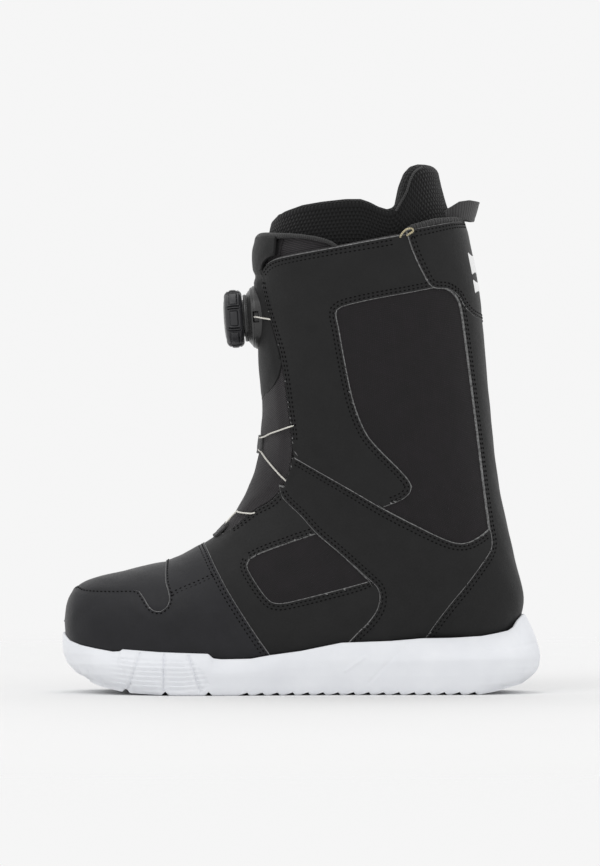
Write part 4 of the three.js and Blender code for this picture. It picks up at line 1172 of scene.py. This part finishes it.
def liner_collar(count=220):
    """The liner's rolled top: walls joined by a round edge, thick at the high back."""
    u, t = liner_columns(count)
    x, y = surface(u, t)[:, 0] / MM, surface(u, t)[:, 1] / MM
    hump = ease((x - 58) / 14)
    front_fold = np.clip((-x - 4) / 12, 0, 1)
    slot = np.exp(-((np.abs(np.abs(y) - 22)) / 1.6) ** 2) * (x < 0)  # beside the liner's tongue
    thick = 7.4 + 4.6 * hump - 1.6 * front_fold - 2.6 * slot
    lean = 5.0 * hump
    r = thick / 2
    rows = []
    for down in (95, 60, 36, 22, 14, 9, 5):
        rows.append(np.stack([np.full(count, float(down)), np.full(count, LINER_DEPTH)], 1))
    for a in np.linspace(0.15, PI + 0.35, 16):
        grow = 1 + 0.12 * hump * math.sin(a)
        depth = LINER_DEPTH + r * (1 - math.cos(a) * grow) + lean * math.sin(a) * 0.2
        rows.append(np.stack([r * 0.9 - r * grow * math.sin(a), depth], 1))
    for down, extra in [(12, -1.4), (20, -0.4), (34, 1.0), (52, 1.6), (80, 1.2), (110, 1.0),
                        (140, 0.6)]:
        rows.append(np.stack([np.full(count, float(down)), LINER_DEPTH + thick + extra], 1))
    return strip("liner_collar", u, t, rows, [MESH], close=True)


collar_roll = liner_collar()
place(collar_roll, "boot", "liner_mesh", "liner_cuff", "liner_tongue")

# Piping along the seam of the high back, found on the liner's surface from either side.
HUMP_SEAM = [(59.5, 306), (62.4, 311), (66.2, 318.1), (68.8, 325.8), (72, 331.6), (76.6, 334.6)]


# ---------------------------------------------------------------- cup sole
# Plan at the widest level, toe first and round by the wearer's left.
SOLE_PLAN = [(-153, 5), (-149.5, -17), (-140, -34), (-122, -48), (-96, -57), (-70, -58.5),
             (-40, -56.5), (0, -50.5), (50, -46.5), (95, -46.5), (125, -42.5), (142, -31),
             (150, -16), (152.7, 0), (150, 16), (142, 30), (125, 41), (95, 44.5), (50, 43.5),
             (0, 46.5), (-40, 54), (-70, 58.5), (-96, 58), (-122, 53), (-140, 42), (-149.5, 26)]
SOLE_BOTTOM = [(-153, 33.3), (-152.8, 25.6), (-150.1, 19.2), (-144.3, 12.8), (-135.4, 7.7),
               (-125.8, 4.5), (-113.5, 2.1), (-111, 4.4), (-108.5, 1.4), (-88.5, 0.2),
               (-86, 2.8), (-83.5, 0), (-61, 0), (-58.6, 2.6), (-56.2, 0), (-42.6, 0)]
SOLE_HEEL = [(112, 0), (123.8, 2.2), (134.7, 5.1), (141.8, 6.4), (146.2, 9.6), (150.1, 13.4),
             (152, 17.3), (152.7, 23.7)]
LUG_PITCH, LUG_DEPTH = 9.6, 2.0
BITE = [(-151.4, 37.8), (-146.9, 33.3), (-140.5, 30.7), (-132.2, 28.8), (-121.3, 26.9),
        (-116.8, 27.2), (-114.9, 28.5), (-90.6, 26.9), (-59.2, 25.9), (-56, 23), (-50.9, 22.4),
        (-33, 22.7), (-20.2, 25), (-1, 27.5), (24.6, 32.6), (56.6, 33.6), (75.8, 35.2),
        (95, 35.5), (114.2, 36.5), (127, 38.4), (134.1, 39.7), (137.3, 41.6), (139.8, 46.1),
        (142.4, 49.3)]
# How far the wall draws in at each height: at the toe, at the heel and along the sides.
TOE_DRAW = [(0, 64), (0.2, 64), (1.4, 44.5), (2.1, 39.5), (4.5, 27.2), (7.7, 17.6), (12.8, 8.7),
            (19.2, 2.9), (25.6, 0.4), (30, 0)]
HEEL_DRAW = [(0, 41), (2.2, 29), (5.1, 18), (6.4, 11), (9.6, 6.5), (13.4, 2.6), (17.3, 0.7),
             (23.7, 0)]
SIDE_DRAW = [(0, 4.2), (0.6, 3.2), (1.5, 2.6), (3, 2.1), (5, 1.6), (12, 0.6), (22, 0)]
# Moulded lines on the wall, seen from the side: points, half width and depth.
WALL_LINES = [
    ([(-102.5, 26.5), (-109.6, 5)], 0.8, 1.4), ([(-86.7, 26), (-87.2, 3)], 0.8, 1.4),
    ([(-71.3, 25), (-63.7, 2.5)], 0.8, 1.4), ([(66.2, 32.6), (55, 21), (42.6, 7.7)], 0.8, 0.35),
    ([(27.8, 15.4), (39.4, 23.7)], 1.0, -0.4),
    ([(111, 34), (115.5, 30.5), (121, 28.8), (130, 29.4), (150, 32)], 0.8, 0.4),
    ([(-143, 17), (-138, 8)], 0.9, 0.8), ([(-136, 15), (-131, 5)], 0.9, 0.7),
    ([(-128, 11), (-124.5, 3)], 0.8, 0.6)]
RIB_PITCH, RIB_DEPTH = 3.0, 0.7


def sole_bottom(x):
    teeth = []
    at = SOLE_BOTTOM[-1][0]
    while at < SOLE_HEEL[0][0] - LUG_PITCH:
        teeth += [(at + 0.05, 0), (at + LUG_PITCH * 0.3, 0.1), (at + LUG_PITCH * 0.88, LUG_DEPTH),
                  (at + LUG_PITCH, 0)]
        at += LUG_PITCH
    return table([*SOLE_BOTTOM, *teeth, *SOLE_HEEL], x)


def relief(x, z):
    """How far the sole's wall lies under its smooth shape, all in millimetres."""
    points = np.stack([x, z], -1)
    depth = np.zeros(len(points))
    for line, half, deep in WALL_LINES:
        d = distance(points, np.array(line, float), closed=False)
        depth += deep * np.exp(-(d / half) ** 2)
    right = table([(0, -62), (8, -58), (16, -62), (24, -70)], z)
    block = np.clip((x + 122) / 8, 0, 1) * np.clip((right - x) / 2.5, 0, 1)
    block *= np.clip((24.5 - z) / 1.2, 0, 1) * np.clip((z - 2.2) / 1.0, 0, 1)
    fan = np.where(x > -75, (x + 75) * 0.12, 0) + np.where(x < -104, (x + 104) * -0.1, 0)
    phase = (z - fan + 0.02 * (x + 90)) / RIB_PITCH
    saw = phase - np.floor(phase)
    shingle = np.where(saw < 0.16, saw / 0.16, 1 - (saw - 0.16) / 0.84)
    return depth + block * RIB_DEPTH * shingle


def room_to_upper(plan, normal, top):
    """How far the wall may draw in at the top so that it closes on the upper."""
    upper = kdtree.KDTree(60 * 121)
    us, ts = (a.ravel() for a in np.meshgrid(np.linspace(0, 18, 60), np.linspace(-PI, PI, 121)))
    for k, point in enumerate(surface(us, ts) / MM):
        upper.insert(point, k)
    upper.balance()
    room = np.empty(len(plan))
    for k in range(len(plan)):
        q = Vector((*plan[k], top[k]))
        near = upper.find(q)[0]
        room[k] = max((q - near).dot(Vector((*normal[k], 0))) - 1.7, 0)
    return np.convolve(np.concatenate([room[-12:], room, room[:12]]), np.ones(25) / 25, "valid")


def wall_rows(plan, normal, top):
    """The wall's rows from the tread up, with its draw, grooves and ribs."""
    x0, nx = plan[:, 0], normal[:, 0]
    toe = np.where(x0 < -60, np.clip(-nx, 0, 1) ** 1.5, 0)
    heel = np.where(x0 > 60, np.clip(nx, 0, 1) ** 1.5, 0)
    room = room_to_upper(plan, normal, top)
    start = np.minimum(22, 0.6 * top)
    low = sole_bottom(x0) * (1 - toe - heel) + 7.7 * toe + 6.4 * heel
    rows = []
    for share in np.concatenate([np.linspace(0, 0.12, 5), np.linspace(0.15, 1, 40)]):
        z = low + (top - low) * share
        draw = (toe * table(TOE_DRAW, z) + heel * table(HEEL_DRAW, z)
                + (1 - toe - heel) * table(SIDE_DRAW, z))
        draw = draw + room * np.clip((z - start) / (top - start), 0, 1) ** 1.6
        at = plan - normal * draw[:, None]
        z = np.maximum(z, sole_bottom(at[:, 0]))
        fade = np.clip((top - z) / 1.0, 0, 1)
        at = at - normal * (relief(at[:, 0], z) * fade)[:, None]
        rows.append(np.column_stack([at, z]))
    return rows


def build_sole():
    plan = smooth(SOLE_PLAN, step=0.9, closed=True, corner=179) / MM
    along = unit(np.roll(plan, -1, 0) - np.roll(plan, 1, 0))
    normal = np.stack([along[:, 1], -along[:, 0]], -1)
    if np.sum(normal * (plan - plan.mean(0))) < 0:
        normal = -normal
    x0, nx = plan[:, 0], normal[:, 0]
    top = table(BITE, x0 - np.where(nx > 0, 9 * nx, 1.5 * nx))
    rows = wall_rows(plan, normal, top)
    edge, tread = rows[-1], rows[0]
    for inward, up in [(0.35, 0.45), (1.0, 0.6), (1.7, 0.2), (2.4, -1.0), (3.4, -4.0)]:
        rows.append(np.column_stack([edge[:, :2] - normal * inward, edge[:, 2] + up]))
    spine_x = np.clip(tread[:, 0], -112, 118)
    spine = np.column_stack([spine_x, table([(-112, 4.5), (-80, 0), (0, -2), (118, 0)], spine_x)])
    under = []
    for share in (0.985, 0.95, 0.88, 0.75, 0.6, 0.45, 0.3, 0.15, 0.01):
        at = spine + (tread[:, :2] - spine) * share
        under.append(np.column_stack([at, sole_bottom(at[:, 0])]))
    rows = under[::-1] + rows
    verts = np.concatenate(rows) * MM
    faces = grid_faces(len(rows), len(plan), around=True)
    return new_object("cup_sole", verts, faces, [RUBBER], uv=verts[:, [0, 2]], sharp=50)


place(build_sole(), "boot", "white_rubber", "outsole")


# ---------------------------------------------------------------- tubes
def spline(points, step=0.7):
    """Close 3-D points, in metres, on a smooth curve through points in metres."""
    return smooth(np.asarray(points) / MM, step=step, corner=179)


def tube(name, points, radius, materials, sides=10):
    """A closed round tube along points; radius in millimetres, one value or one each."""
    points = np.asarray(points, float)
    count = len(points)
    radius = np.broadcast_to(np.asarray(radius, float), (count,)) * MM
    along = unit(np.gradient(points, axis=0))
    side = unit(np.cross(along[0], (0.3, 0.2, 1.0)))
    run = run_along(points)
    verts, uv = [], []
    for k in range(count):
        side = unit(side - along[k] * np.dot(side, along[k]))
        other = np.cross(along[k], side)
        for j in range(sides):
            a = 2 * PI * j / sides
            verts.append(points[k] + radius[k] * (math.cos(a) * side + math.sin(a) * other))
            uv.append((run[k], j / sides * 2 * PI * radius[k]))
    last = (count - 1) * sides
    ends = [tuple(range(sides))[::-1], tuple(range(last, last + sides))]
    faces = grid_faces(count, sides, around=True) + ends
    return new_object(name, verts, faces, materials, uv=uv, sharp=60)


liner_tree = BVHTree.FromObject(collar_roll, bpy.context.evaluated_depsgraph_get())
for side, s in (("left", -1), ("right", 1)):
    hits = [liner_tree.ray_cast(Vector((x * MM, s * 0.2, z * MM)), Vector((0, -s, 0)))[0]
            for x, z in HUMP_SEAM]
    seam_line = [tuple(hit) for hit in hits if hit is not None]
    place(tube(f"liner_piping_{side}", spline(seam_line), 0.75, [BINDING]), "boot", "webbing")

# ---------------------------------------------------------------- lace
LACE_R = 0.52
LACE_OUT = -0.75  # depth of the lace's middle where it lies on the tongue


def on_side(x, z, side, depth):
    u, t = locate([(x * MM, z * MM)])
    return at_depth(u, -t if side == "left" else t, np.array([depth * MM]))[0]


_front_u, _front_t = (a.ravel() for a in np.meshgrid(np.linspace(6, LAST, 300),
                                                     np.linspace(PI * 0.6, PI, 90)))
_front_points = surface(_front_u, _front_t)


def seen_from_front(y, z):
    """Row and turn, on one half, of the surface point seen from the front at (y, z)."""
    best = np.argmin((np.abs(_front_points[:, 1]) - abs(y) * MM) ** 2
                     + (_front_points[:, 2] - z * MM) ** 2)
    return _front_u[best:best + 1], _front_t[best:best + 1]


def on_front(y, z, depth):
    """A surface point seen from the front, y to either side."""
    u, t = seen_from_front(y, z)
    return at_depth(u, t if y > 0 else -t, np.array([depth * MM]))[0]


# Where each stretch of lace passes from the tongue to the boot, as side view points.
LACE_FOLDS = {"dial": [(-22.8, 238.5), (-21.2, 238.0)], "upper": [(-12.2, 168), (-9.6, 169)],
              "lower": [(-15.2, 140.8), (-12.8, 138)]}
LACE_HIDDEN = {"upper": "cuff_run", "lower": "ankle_run"}  # CAD runs that lie out of sight


def lace_runs(side):
    """Points of the visible stretches of lace on one side."""
    s = -1 if side == "left" else 1
    return {
        "dial": [(-30.2 * MM, s * 18.2 * MM, 239.7 * MM), (-28.2 * MM, s * 21.6 * MM, 239.5 * MM),
                 on_side(-23.8, 238.8, side, -0.5), on_side(-21.8, 238.2, side, 0.6),
                 on_side(-18.5, 237.0, side, 2.2)],
        "upper": [on_front(s * 6, 163.0, -0.9), on_front(s * 12, 163.4, LACE_OUT),
                  on_side(-20, 165.2, side, LACE_OUT), on_side(-14, 167.4, side, LACE_OUT),
                  on_side(-9.2, 169.2, side, -0.3), on_side(-6.8, 170, side, 0.5),
                  on_side(-4, 171, side, 2.2)],
        "lower": [on_front(s * 5, 155.0, -0.9), on_front(s * 9.5, 153.8, LACE_OUT),
                  on_side(-22.6, 149.8, side, LACE_OUT), on_side(-18.4, 144.6, side, LACE_OUT),
                  on_side(-14.2, 139.6, side, -0.4), on_side(-11.4, 136.4, side, 0.6),
                  on_side(-8, 133, side, 2.2)],
        "instep": [on_side(-26, 118.5, side, 2.4), on_side(-31, 115.2, side, 0.9),
                   on_side(-35, 114.5, side, -0.4), on_side(-40, 115.0, side, LACE_OUT),
                   on_front(s * 8, 115.2, LACE_OUT), on_front(s * 5.5, 112.4, LACE_OUT),
                   on_front(s * 4.5, 107.5, -0.9)]}


for side in ("left", "right"):
    for name, points in lace_runs(side).items():
        piece = tube(f"lace_cable_{name}_{side}", spline(points), LACE_R, [CABLE])
        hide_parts(f"lace_{name}_{side}")
        if name in LACE_HIDDEN:
            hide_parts(f"lace_{LACE_HIDDEN[name]}_{side}")
        if name in LACE_FOLDS:
            start, end = (tuple(on_side(x, z, side, 0)) for x, z in LACE_FOLDS[name])
            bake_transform(piece)
        else:
            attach(piece, "boot")


# ---------------------------------------------------------------- dial
DIAL_AT = np.array([-28.4, 0, 239.8])
DIAL_TILT = math.radians(4)  # the dial looks slightly down
DIAL_TILT_SIN, DIAL_TILT_COS = math.sin(DIAL_TILT), math.cos(DIAL_TILT)
DIAL_OUT = np.array([-DIAL_TILT_COS, 0, -DIAL_TILT_SIN])
DIAL_UP = np.array([-DIAL_TILT_SIN, 0, DIAL_TILT_COS])
BASE_PROFILE = [(20.2, -4), (20.2, 1.2), (20, 1.9), (19.5, 2.2), (19.2, 3.2), (18.6, 3.7),
                (17.4, 4.3), (17, 4.9), (16.2, 5.3), (15.6, 6), (14.9, 6.2), (14.9, 6.7),
                (15.2, 7), (15, 8), (14.7, 8.4), (12.8, 8.4), (12.5, 8.1), (12.5, 2.6), (0.3, 2.6)]
CAP_PROFILE = [(5.6, 18.4), (5.6, 10.9), (12.7, 10.9), (12.8, 9.1), (15.4, 9), (16.4, 9.3),
               (17.4, 10), (18, 10.9), (18.4, 12.2), (18.6, 14), (18.55, 15.8), (18.2, 17.3),
               (17.5, 18.6), (16.5, 19.6), (15.4, 20.2), (14.6, 20.4), (14, 20.35), (13.6, 20.15),
               (13.1, 20.4), (11, 20.9), (7, 21.25), (3, 21.35), (0.3, 21.4)]
PORT_HALF_TURN, PORT_SPAN, PORT_DEPTH = 0.17, (-0.9, 2.7), 3.0
NOTCHES, NOTCH_DEPTH, NOTCH_SPAN = 60, 0.25, (6.2, 6.7)
PADS, PAD_RADIUS, PAD_MIDDLE = 8, 18.5, 14.8
PAD_HALF_WIDTH, PAD_HALF_HEIGHT, PAD_END = 4.9, 2.6, 7.26
SLOT_AT, SLOT_HALF_WIDTH, SLOT_HALF_HEIGHT = 6.35, 0.42, 3.9
SLOT_DEPTH, LINE_DEPTH, DIP_DEPTH = 1.6, 0.7, 0.35


def dial_point(r, h, turn):
    """A point of the dial: radius, height along its axis, and turn from the wearer's left."""
    side = -math.cos(turn)
    up = math.sin(turn)
    return (DIAL_AT + DIAL_OUT * h + np.array([0, side * r, 0]) + DIAL_UP * up * r) * MM


def fine(profile, step):
    """The profile with extra points, so that no stretch is longer than the step."""
    made = [profile[0]]
    for (r0, h0), (r1, h1) in zip(profile, profile[1:]):
        parts = max(1, int(math.hypot(r1 - r0, h1 - h0) / step))
        made += [(r0 + (r1 - r0) * k / parts, h0 + (h1 - h0) * k / parts)
                 for k in range(1, parts + 1)]
    return made


def lathe(name, profile, count, materials, shape=None, kind=None):
    """A turned piece whose radius may be reshaped by shape(r, h, turn)."""
    verts, uv = [], []
    run = 0.0
    for k, (r, h) in enumerate(profile):
        if k:
            run += math.hypot(r - profile[k - 1][0], h - profile[k - 1][1]) * MM
        for j in range(count):
            turn = 2 * PI * j / count
            shaped = shape(r, h, turn) if shape else r
            verts.append(dial_point(shaped, h, turn))
            uv.append((run, turn * max(r, 3) * MM))
    faces = grid_faces(len(profile), count, around=True)
    kinds = [kind(profile[f[0] // count][0]) for f in faces] if kind else None
    return new_object(name, verts, faces, materials, uv=uv, face_material=kinds, sharp=35)


def base_shape(r, h, turn):
    """The lace ports, a deep rectangle on each side of the base, and the ring of notches."""
    away = min(abs(math.sin(turn / 2)), abs(math.cos(turn / 2)))
    if r > 17 and PORT_SPAN[0] < h < PORT_SPAN[1] and away < PORT_HALF_TURN / 2:
        return r - PORT_DEPTH
    in_notch = abs((turn / (2 * PI) * NOTCHES) % 1 - 0.5) < 0.5
    if r > 14 and in_notch and NOTCH_SPAN[0] <= h <= NOTCH_SPAN[1]:
        return r - NOTCH_DEPTH
    return r


def cap_shape(r, h, turn):
    """Grip pads: rounded rectangles with a line inside, between pairs of dark slots."""
    if r < 15.6 or h > 20.1 or h < 9.4:
        return r
    share = (turn / (2 * PI) * PADS + 0.5) % 1 - 0.5
    across = abs(share) * 2 * PI * PAD_RADIUS / PADS
    along = abs(h - PAD_MIDDLE)
    slot = (math.exp(-((across - SLOT_AT) / SLOT_HALF_WIDTH) ** 6)
            * math.exp(-(along / SLOT_HALF_HEIGHT) ** 8))
    line = max(across - PAD_HALF_WIDTH, along - PAD_HALF_HEIGHT)
    groove = math.exp(-(line / 0.32) ** 2) if along < 4 and across < 6 else 0
    dip = DIP_DEPTH * math.exp(-((across - PAD_END) / 0.5) ** 2)
    return r - SLOT_DEPTH * slot - LINE_DEPTH * groove - dip


place(lathe("dial_housing", fine(BASE_PROFILE, 0.45), 240, [DIAL_PLASTIC], base_shape),
      "tongue", "dial_plastic", "dial_base")
place(lathe("dial_cap", fine(CAP_PROFILE, 0.4), 400, [DIAL_PLASTIC, GRIP], cap_shape,
            kind=lambda r: 1 if r > 15.2 else 0),
      "dial", "dial_grip", "dial_knob", "knob_grip")


# ---------------------------------------------------------------- lace guides
def front_plane(y, z):
    """The plane point seen from the front at (y, z), y towards the wearer's left."""
    u, t = seen_from_front(y, z)
    point = unroll(u, 2 * PI - t, True)[0]
    return np.array([point[0], abs(point[1]) if y >= 0 else -abs(point[1])])


def cut_corners(half, low, high, corner):
    """A rectangle with cut corners, half wide to either side, as (y, z) points."""
    return [(half, low + corner), (half, high - corner), (half - corner, high), (0, high),
            (corner - half, high), (-half, high - corner), (-half, low + corner),
            (corner - half, low), (0, low), (half - corner, low)]


def guide(name, half, low, high, level, node, body):
    ring = np.array([front_plane(y, z) for y, z in cut_corners(half, low, high, 1.5)])
    piece = panel(name, ring, level, True, [WEBBING, WEBBING], swell=0.05, grid=1.2)
    place(piece, body, "webbing", node)


guide("tongue_guide_loop", 9, 152.6, 164.4, -1.3, "tongue_lace_guide", "tongue")
guide("vamp_guide_loop", 8, 100, 108.6, -1.3, "vamp_lace_guide", "boot")

# ---------------------------------------------------------------- collar trim
ROPE_TOP = [(66, 293.8), (69.7, 295.3), (84.1, 299.6), (95.8, 301.1), (105, 301.3)]
ROPE_R = [(66, 1.2), (70, 2.1), (84, 2.0), (98, 1.8), (106, 1.6)]
rope_u, rope_t = ring_columns(joined(rim_back, mirrored(rim_back)[1:]), step=0.45)
rope = at_depth(rope_u, rope_t, np.full(len(rope_u), 2.0 * MM))
rope[:, 2] = table(ROPE_TOP, rope[:, 0] / MM) * MM
rope_run = run_along(rope)
rope_r = table(ROPE_R, rope[:, 0] / MM) + 0.22 * np.sin(2 * PI * rope_run / (2.3 * MM))
place(tube("collar_rope", rope, rope_r, [BINDING], sides=18), "boot", "webbing",
      "collar_binding")

CORD_LOOP = [(62.4, 289.4), (62.8, 290.8), (64.4, 293), (66.4, 294.4), (69.2, 294.6),
             (70, 293.2), (68.4, 291.8), (66.6, 290.4)]
for side in ("left", "right"):
    points = [on_side(x, z, side, out) for (x, z), out in
              zip(CORD_LOOP, (1.0, -0.2, -0.9, -1.0, -0.9, -1.0, -0.8, 0.8))]
    place(tube(f"cord_loop_{side}", spline(points), 0.62, [CORD]), "boot", "webbing")

# The pull loop: a webbing band that runs out behind the heel tab and back; its legs lie
# along the collar.
LOOP_AT, LOOP_REACH, LOOP_HALF = (95.5, 0), 15.0, 19.0
LOOP_LEG, LOOP_SPREAD, LOOP_THICK, LOOP_LEAN = 10.0, 4.2, 1.5, 3.6
LOOP_TOP = [(84, 301.8), (87, 303.6), (90.6, 306.6), (95.8, 310.4), (99.7, 313.2), (105, 314.2),
            (112.8, 313)]
LOOP_LOW = [(84, 300.6), (87, 300.9), (104, 301.9), (109, 300.9)]


def pull_loop():
    turns = np.linspace(-PI / 2, PI / 2, 80)
    leg = np.linspace(-LOOP_LEG, 0, 14)[:-1]
    spread = LOOP_HALF + np.linspace(LOOP_SPREAD, 0, len(leg))
    x = np.concatenate([leg, LOOP_REACH * np.cos(turns), leg[::-1]])
    y = np.concatenate([-spread, LOOP_HALF * np.sin(turns), spread[::-1]])
    path = np.stack([x + LOOP_AT[0], y], -1)
    along = unit(np.gradient(path, axis=0))
    out = np.stack([along[:, 1], -along[:, 0]], -1)
    run = run_along(path)
    section = [(0, 0.15), (0, 0.85), (0.05, 1), (0.15, 0.9), (0.3, 1), (0.7, 1), (0.85, 0.9),
               (0.95, 1), (1, 0.85), (1, 0.15), (0.95, 0), (0.85, 0.1), (0.7, 0), (0.3, 0),
               (0.15, 0.1), (0.05, 0)]
    low, high = table(LOOP_LOW, path[:, 0]), table(LOOP_TOP, path[:, 0])
    rows, uv = [], []
    for share, face in section:
        at = path + out * (face - 1) * LOOP_THICK
        lean = LOOP_LEAN * share * np.clip(x / LOOP_REACH, 0, 1)
        z = low + (high - low) * share
        rows.append(np.column_stack([at[:, 0] + lean, at[:, 1], z]))
        uv.append(np.column_stack([run, z]) * MM)
    verts = np.concatenate(rows) * MM
    count = len(path)
    faces = grid_faces(len(rows), count)
    last = (len(rows) - 1) * count
    faces += [(last + k, k, k + 1, last + k + 1)[::-1] for k in range(count - 1)]
    faces += [tuple(k * count for k in range(len(rows))),
              tuple((k + 1) * count - 1 for k in range(len(rows)))[::-1]]
    return new_object("webbing_loop", verts, faces, [WEBBING], uv=np.concatenate(uv), sharp=50)


loop_piece = pull_loop()
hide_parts("pull_loop")
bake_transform(loop_piece)

# A plain white bar mark, in two parts, high on the back: top and bottom of each bar.
BARS = ((280.8, 266.2), (263.2, 254.3))
BAR_HALF = 22.0


def back_plane(y, z):
    """The plane point of the back, seen from behind at (y, z)."""
    us = np.linspace(15, 21, 300)
    turns = np.linspace(0, 0.5, 60)
    u, t = (a.ravel() for a in np.meshgrid(us, turns))
    at = surface(u, t)
    best = np.argmin((np.abs(at[:, 1]) - abs(y) * MM) ** 2 + (at[:, 2] - z * MM) ** 2)
    return unroll(u[best:best + 1], math.copysign(1, -y) * t[best:best + 1], False)[0]


bars = []
for number, (top, low) in enumerate(BARS):
    ring = np.array([back_plane(y, z) for y, z in cut_corners(BAR_HALF, low, top, 1)])
    bars.append(panel(f"white_bar_{number}", ring, LEVEL["rear_cuff"] - 0.3, False,
                      [PRINT, PRINT], swell=0, grid=1.6, drop=0.3, press=0))
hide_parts("heel_mark")
for bar in bars:
    place(bar, "boot", "white_print")

# ---------------------------------------------------------------- tongue padding
def cushion(name, us, half_turn, outer, inner, material, columns=61):
    """A closed pillow in front: two faces over rows us and turns about the front line.

    half_turn(share) is its half width in radians at a share of its height.
    """
    across = np.linspace(-1, 1, columns)
    count = len(us)
    middle, swell = (outer + inner) / 2, (inner - outer) / 2
    rows = []
    for face, order in ((0, range(count)), (1, range(count - 1, -1, -1))):
        for k in order:
            share = k / (count - 1)
            t = PI + across * half_turn(share)
            edge = np.clip(1 - across**6, 0, 1) * min(1, 6 * share, 6 * (1 - share)) ** 0.5
            quilt = 0.5 * np.cos(across * half_turn(share) * 9) * edge
            depth = middle + (2 * face - 1) * swell * (0.12 + 0.88 * edge) + quilt * face
            u = np.full(columns, us[k])
            rows.append(at_depth(u, np.where(t > PI, t - 2 * PI, t), depth * MM))
    verts = np.concatenate(rows)
    faces = grid_faces(len(rows), columns)
    last = (len(rows) - 1) * columns
    faces += [(last + k, last + k + 1, k + 1, k)[::-1] for k in range(columns - 1)]
    for edge in (0, columns - 1):
        for k in range(count - 1):
            other = (len(rows) - 1 - k) * columns + edge
            here = k * columns + edge
            quad = (here, here + columns, other - columns, other)
            faces.append(quad if edge else quad[::-1])
    piece = new_object(name, verts, faces, [material], uv=verts[:, [2, 1]], sharp=70)
    return piece


def rows_between(low, high, count):
    us = np.linspace(8, LAST, 2000)
    heights = surface(us, np.full(2000, PI))[:, 2] / MM
    return np.interp(np.linspace(low, high, count), heights, us)


foam_pad = cushion("tongue_pad", rows_between(152, 289.5, 50), lambda s: 0.42 + 0.3 * s,
                   3.6, 7.2, KNIT)
place(foam_pad, "tongue", "lining_textile", "tongue_foam")

# The roll along the tongue's top: side view points, then front view points, y from the middle.
TONGUE_RIM = [(24.5, 280.6), (18.2, 285.4), (10.6, 288.2), (-1, 290.4), (-10, 291.4),
              (-17.4, 291.4)]
TONGUE_RIM_FRONT = [(22, 291.4), (14, 291.1), (6, 290.8), (0.5, 290.8)]
rim_half = np.array([on_side(x, z, "left", 3.4) for x, z in TONGUE_RIM]
                    + [on_front(-y, z, 2.4) for y, z in TONGUE_RIM_FRONT])
rim_path = spline(joined(rim_half, rim_half[::-1] * (1, -1, 1)))
front_share = np.clip((-rim_path[:, 0] / MM - 6) / 14, 0, 1)
roll_piece = tube("tongue_top_roll", rim_path, 1.3 + 1.0 * front_share, [BINDING], sides=16)
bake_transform(roll_piece)


# ---------------------------------------------------------------- inside of the liner
def liner_sock(sides=96):
    """The liner's foot: an outer and a quilted inner wall from the toe to the shaft."""
    us = np.concatenate([np.linspace(0.6, 3, 8), np.linspace(3.4, 16.4, 40)])
    turns = np.linspace(-PI, PI, sides + 1)[:-1]
    rows = []
    for wall, order in ((0, us), (1, us[::-1])):
        for u in order:
            leg = np.clip((u - 9) / 5, 0, 1)
            depth = (5.9 + 2.3 * leg) if wall == 0 else (11.2 + 4.2 * leg)
            soft = 0.35 * np.sin(u * 5) * np.cos(turns * 6) * wall
            rows.append(at_depth(np.full(sides, u), turns, (depth + soft) * MM))
    verts = np.concatenate(rows)
    faces = grid_faces(len(rows), sides, around=True)
    last = (len(rows) - 1) * sides
    for k in range(sides):
        following = (k + 1) % sides
        faces.append((k, following, last + following, last + k))
    piece = new_object("liner_sock", verts, faces, [MESH], uv=verts[:, [0, 2]], sharp=70)
    return piece


place(liner_sock(), "boot", "liner_mesh", "liner_foot")


# ---------------------------------------------------------------- end
place(stitching.piece("stitches", THREAD_AND_HOLE_SHADE), "boot", "shell_leather")
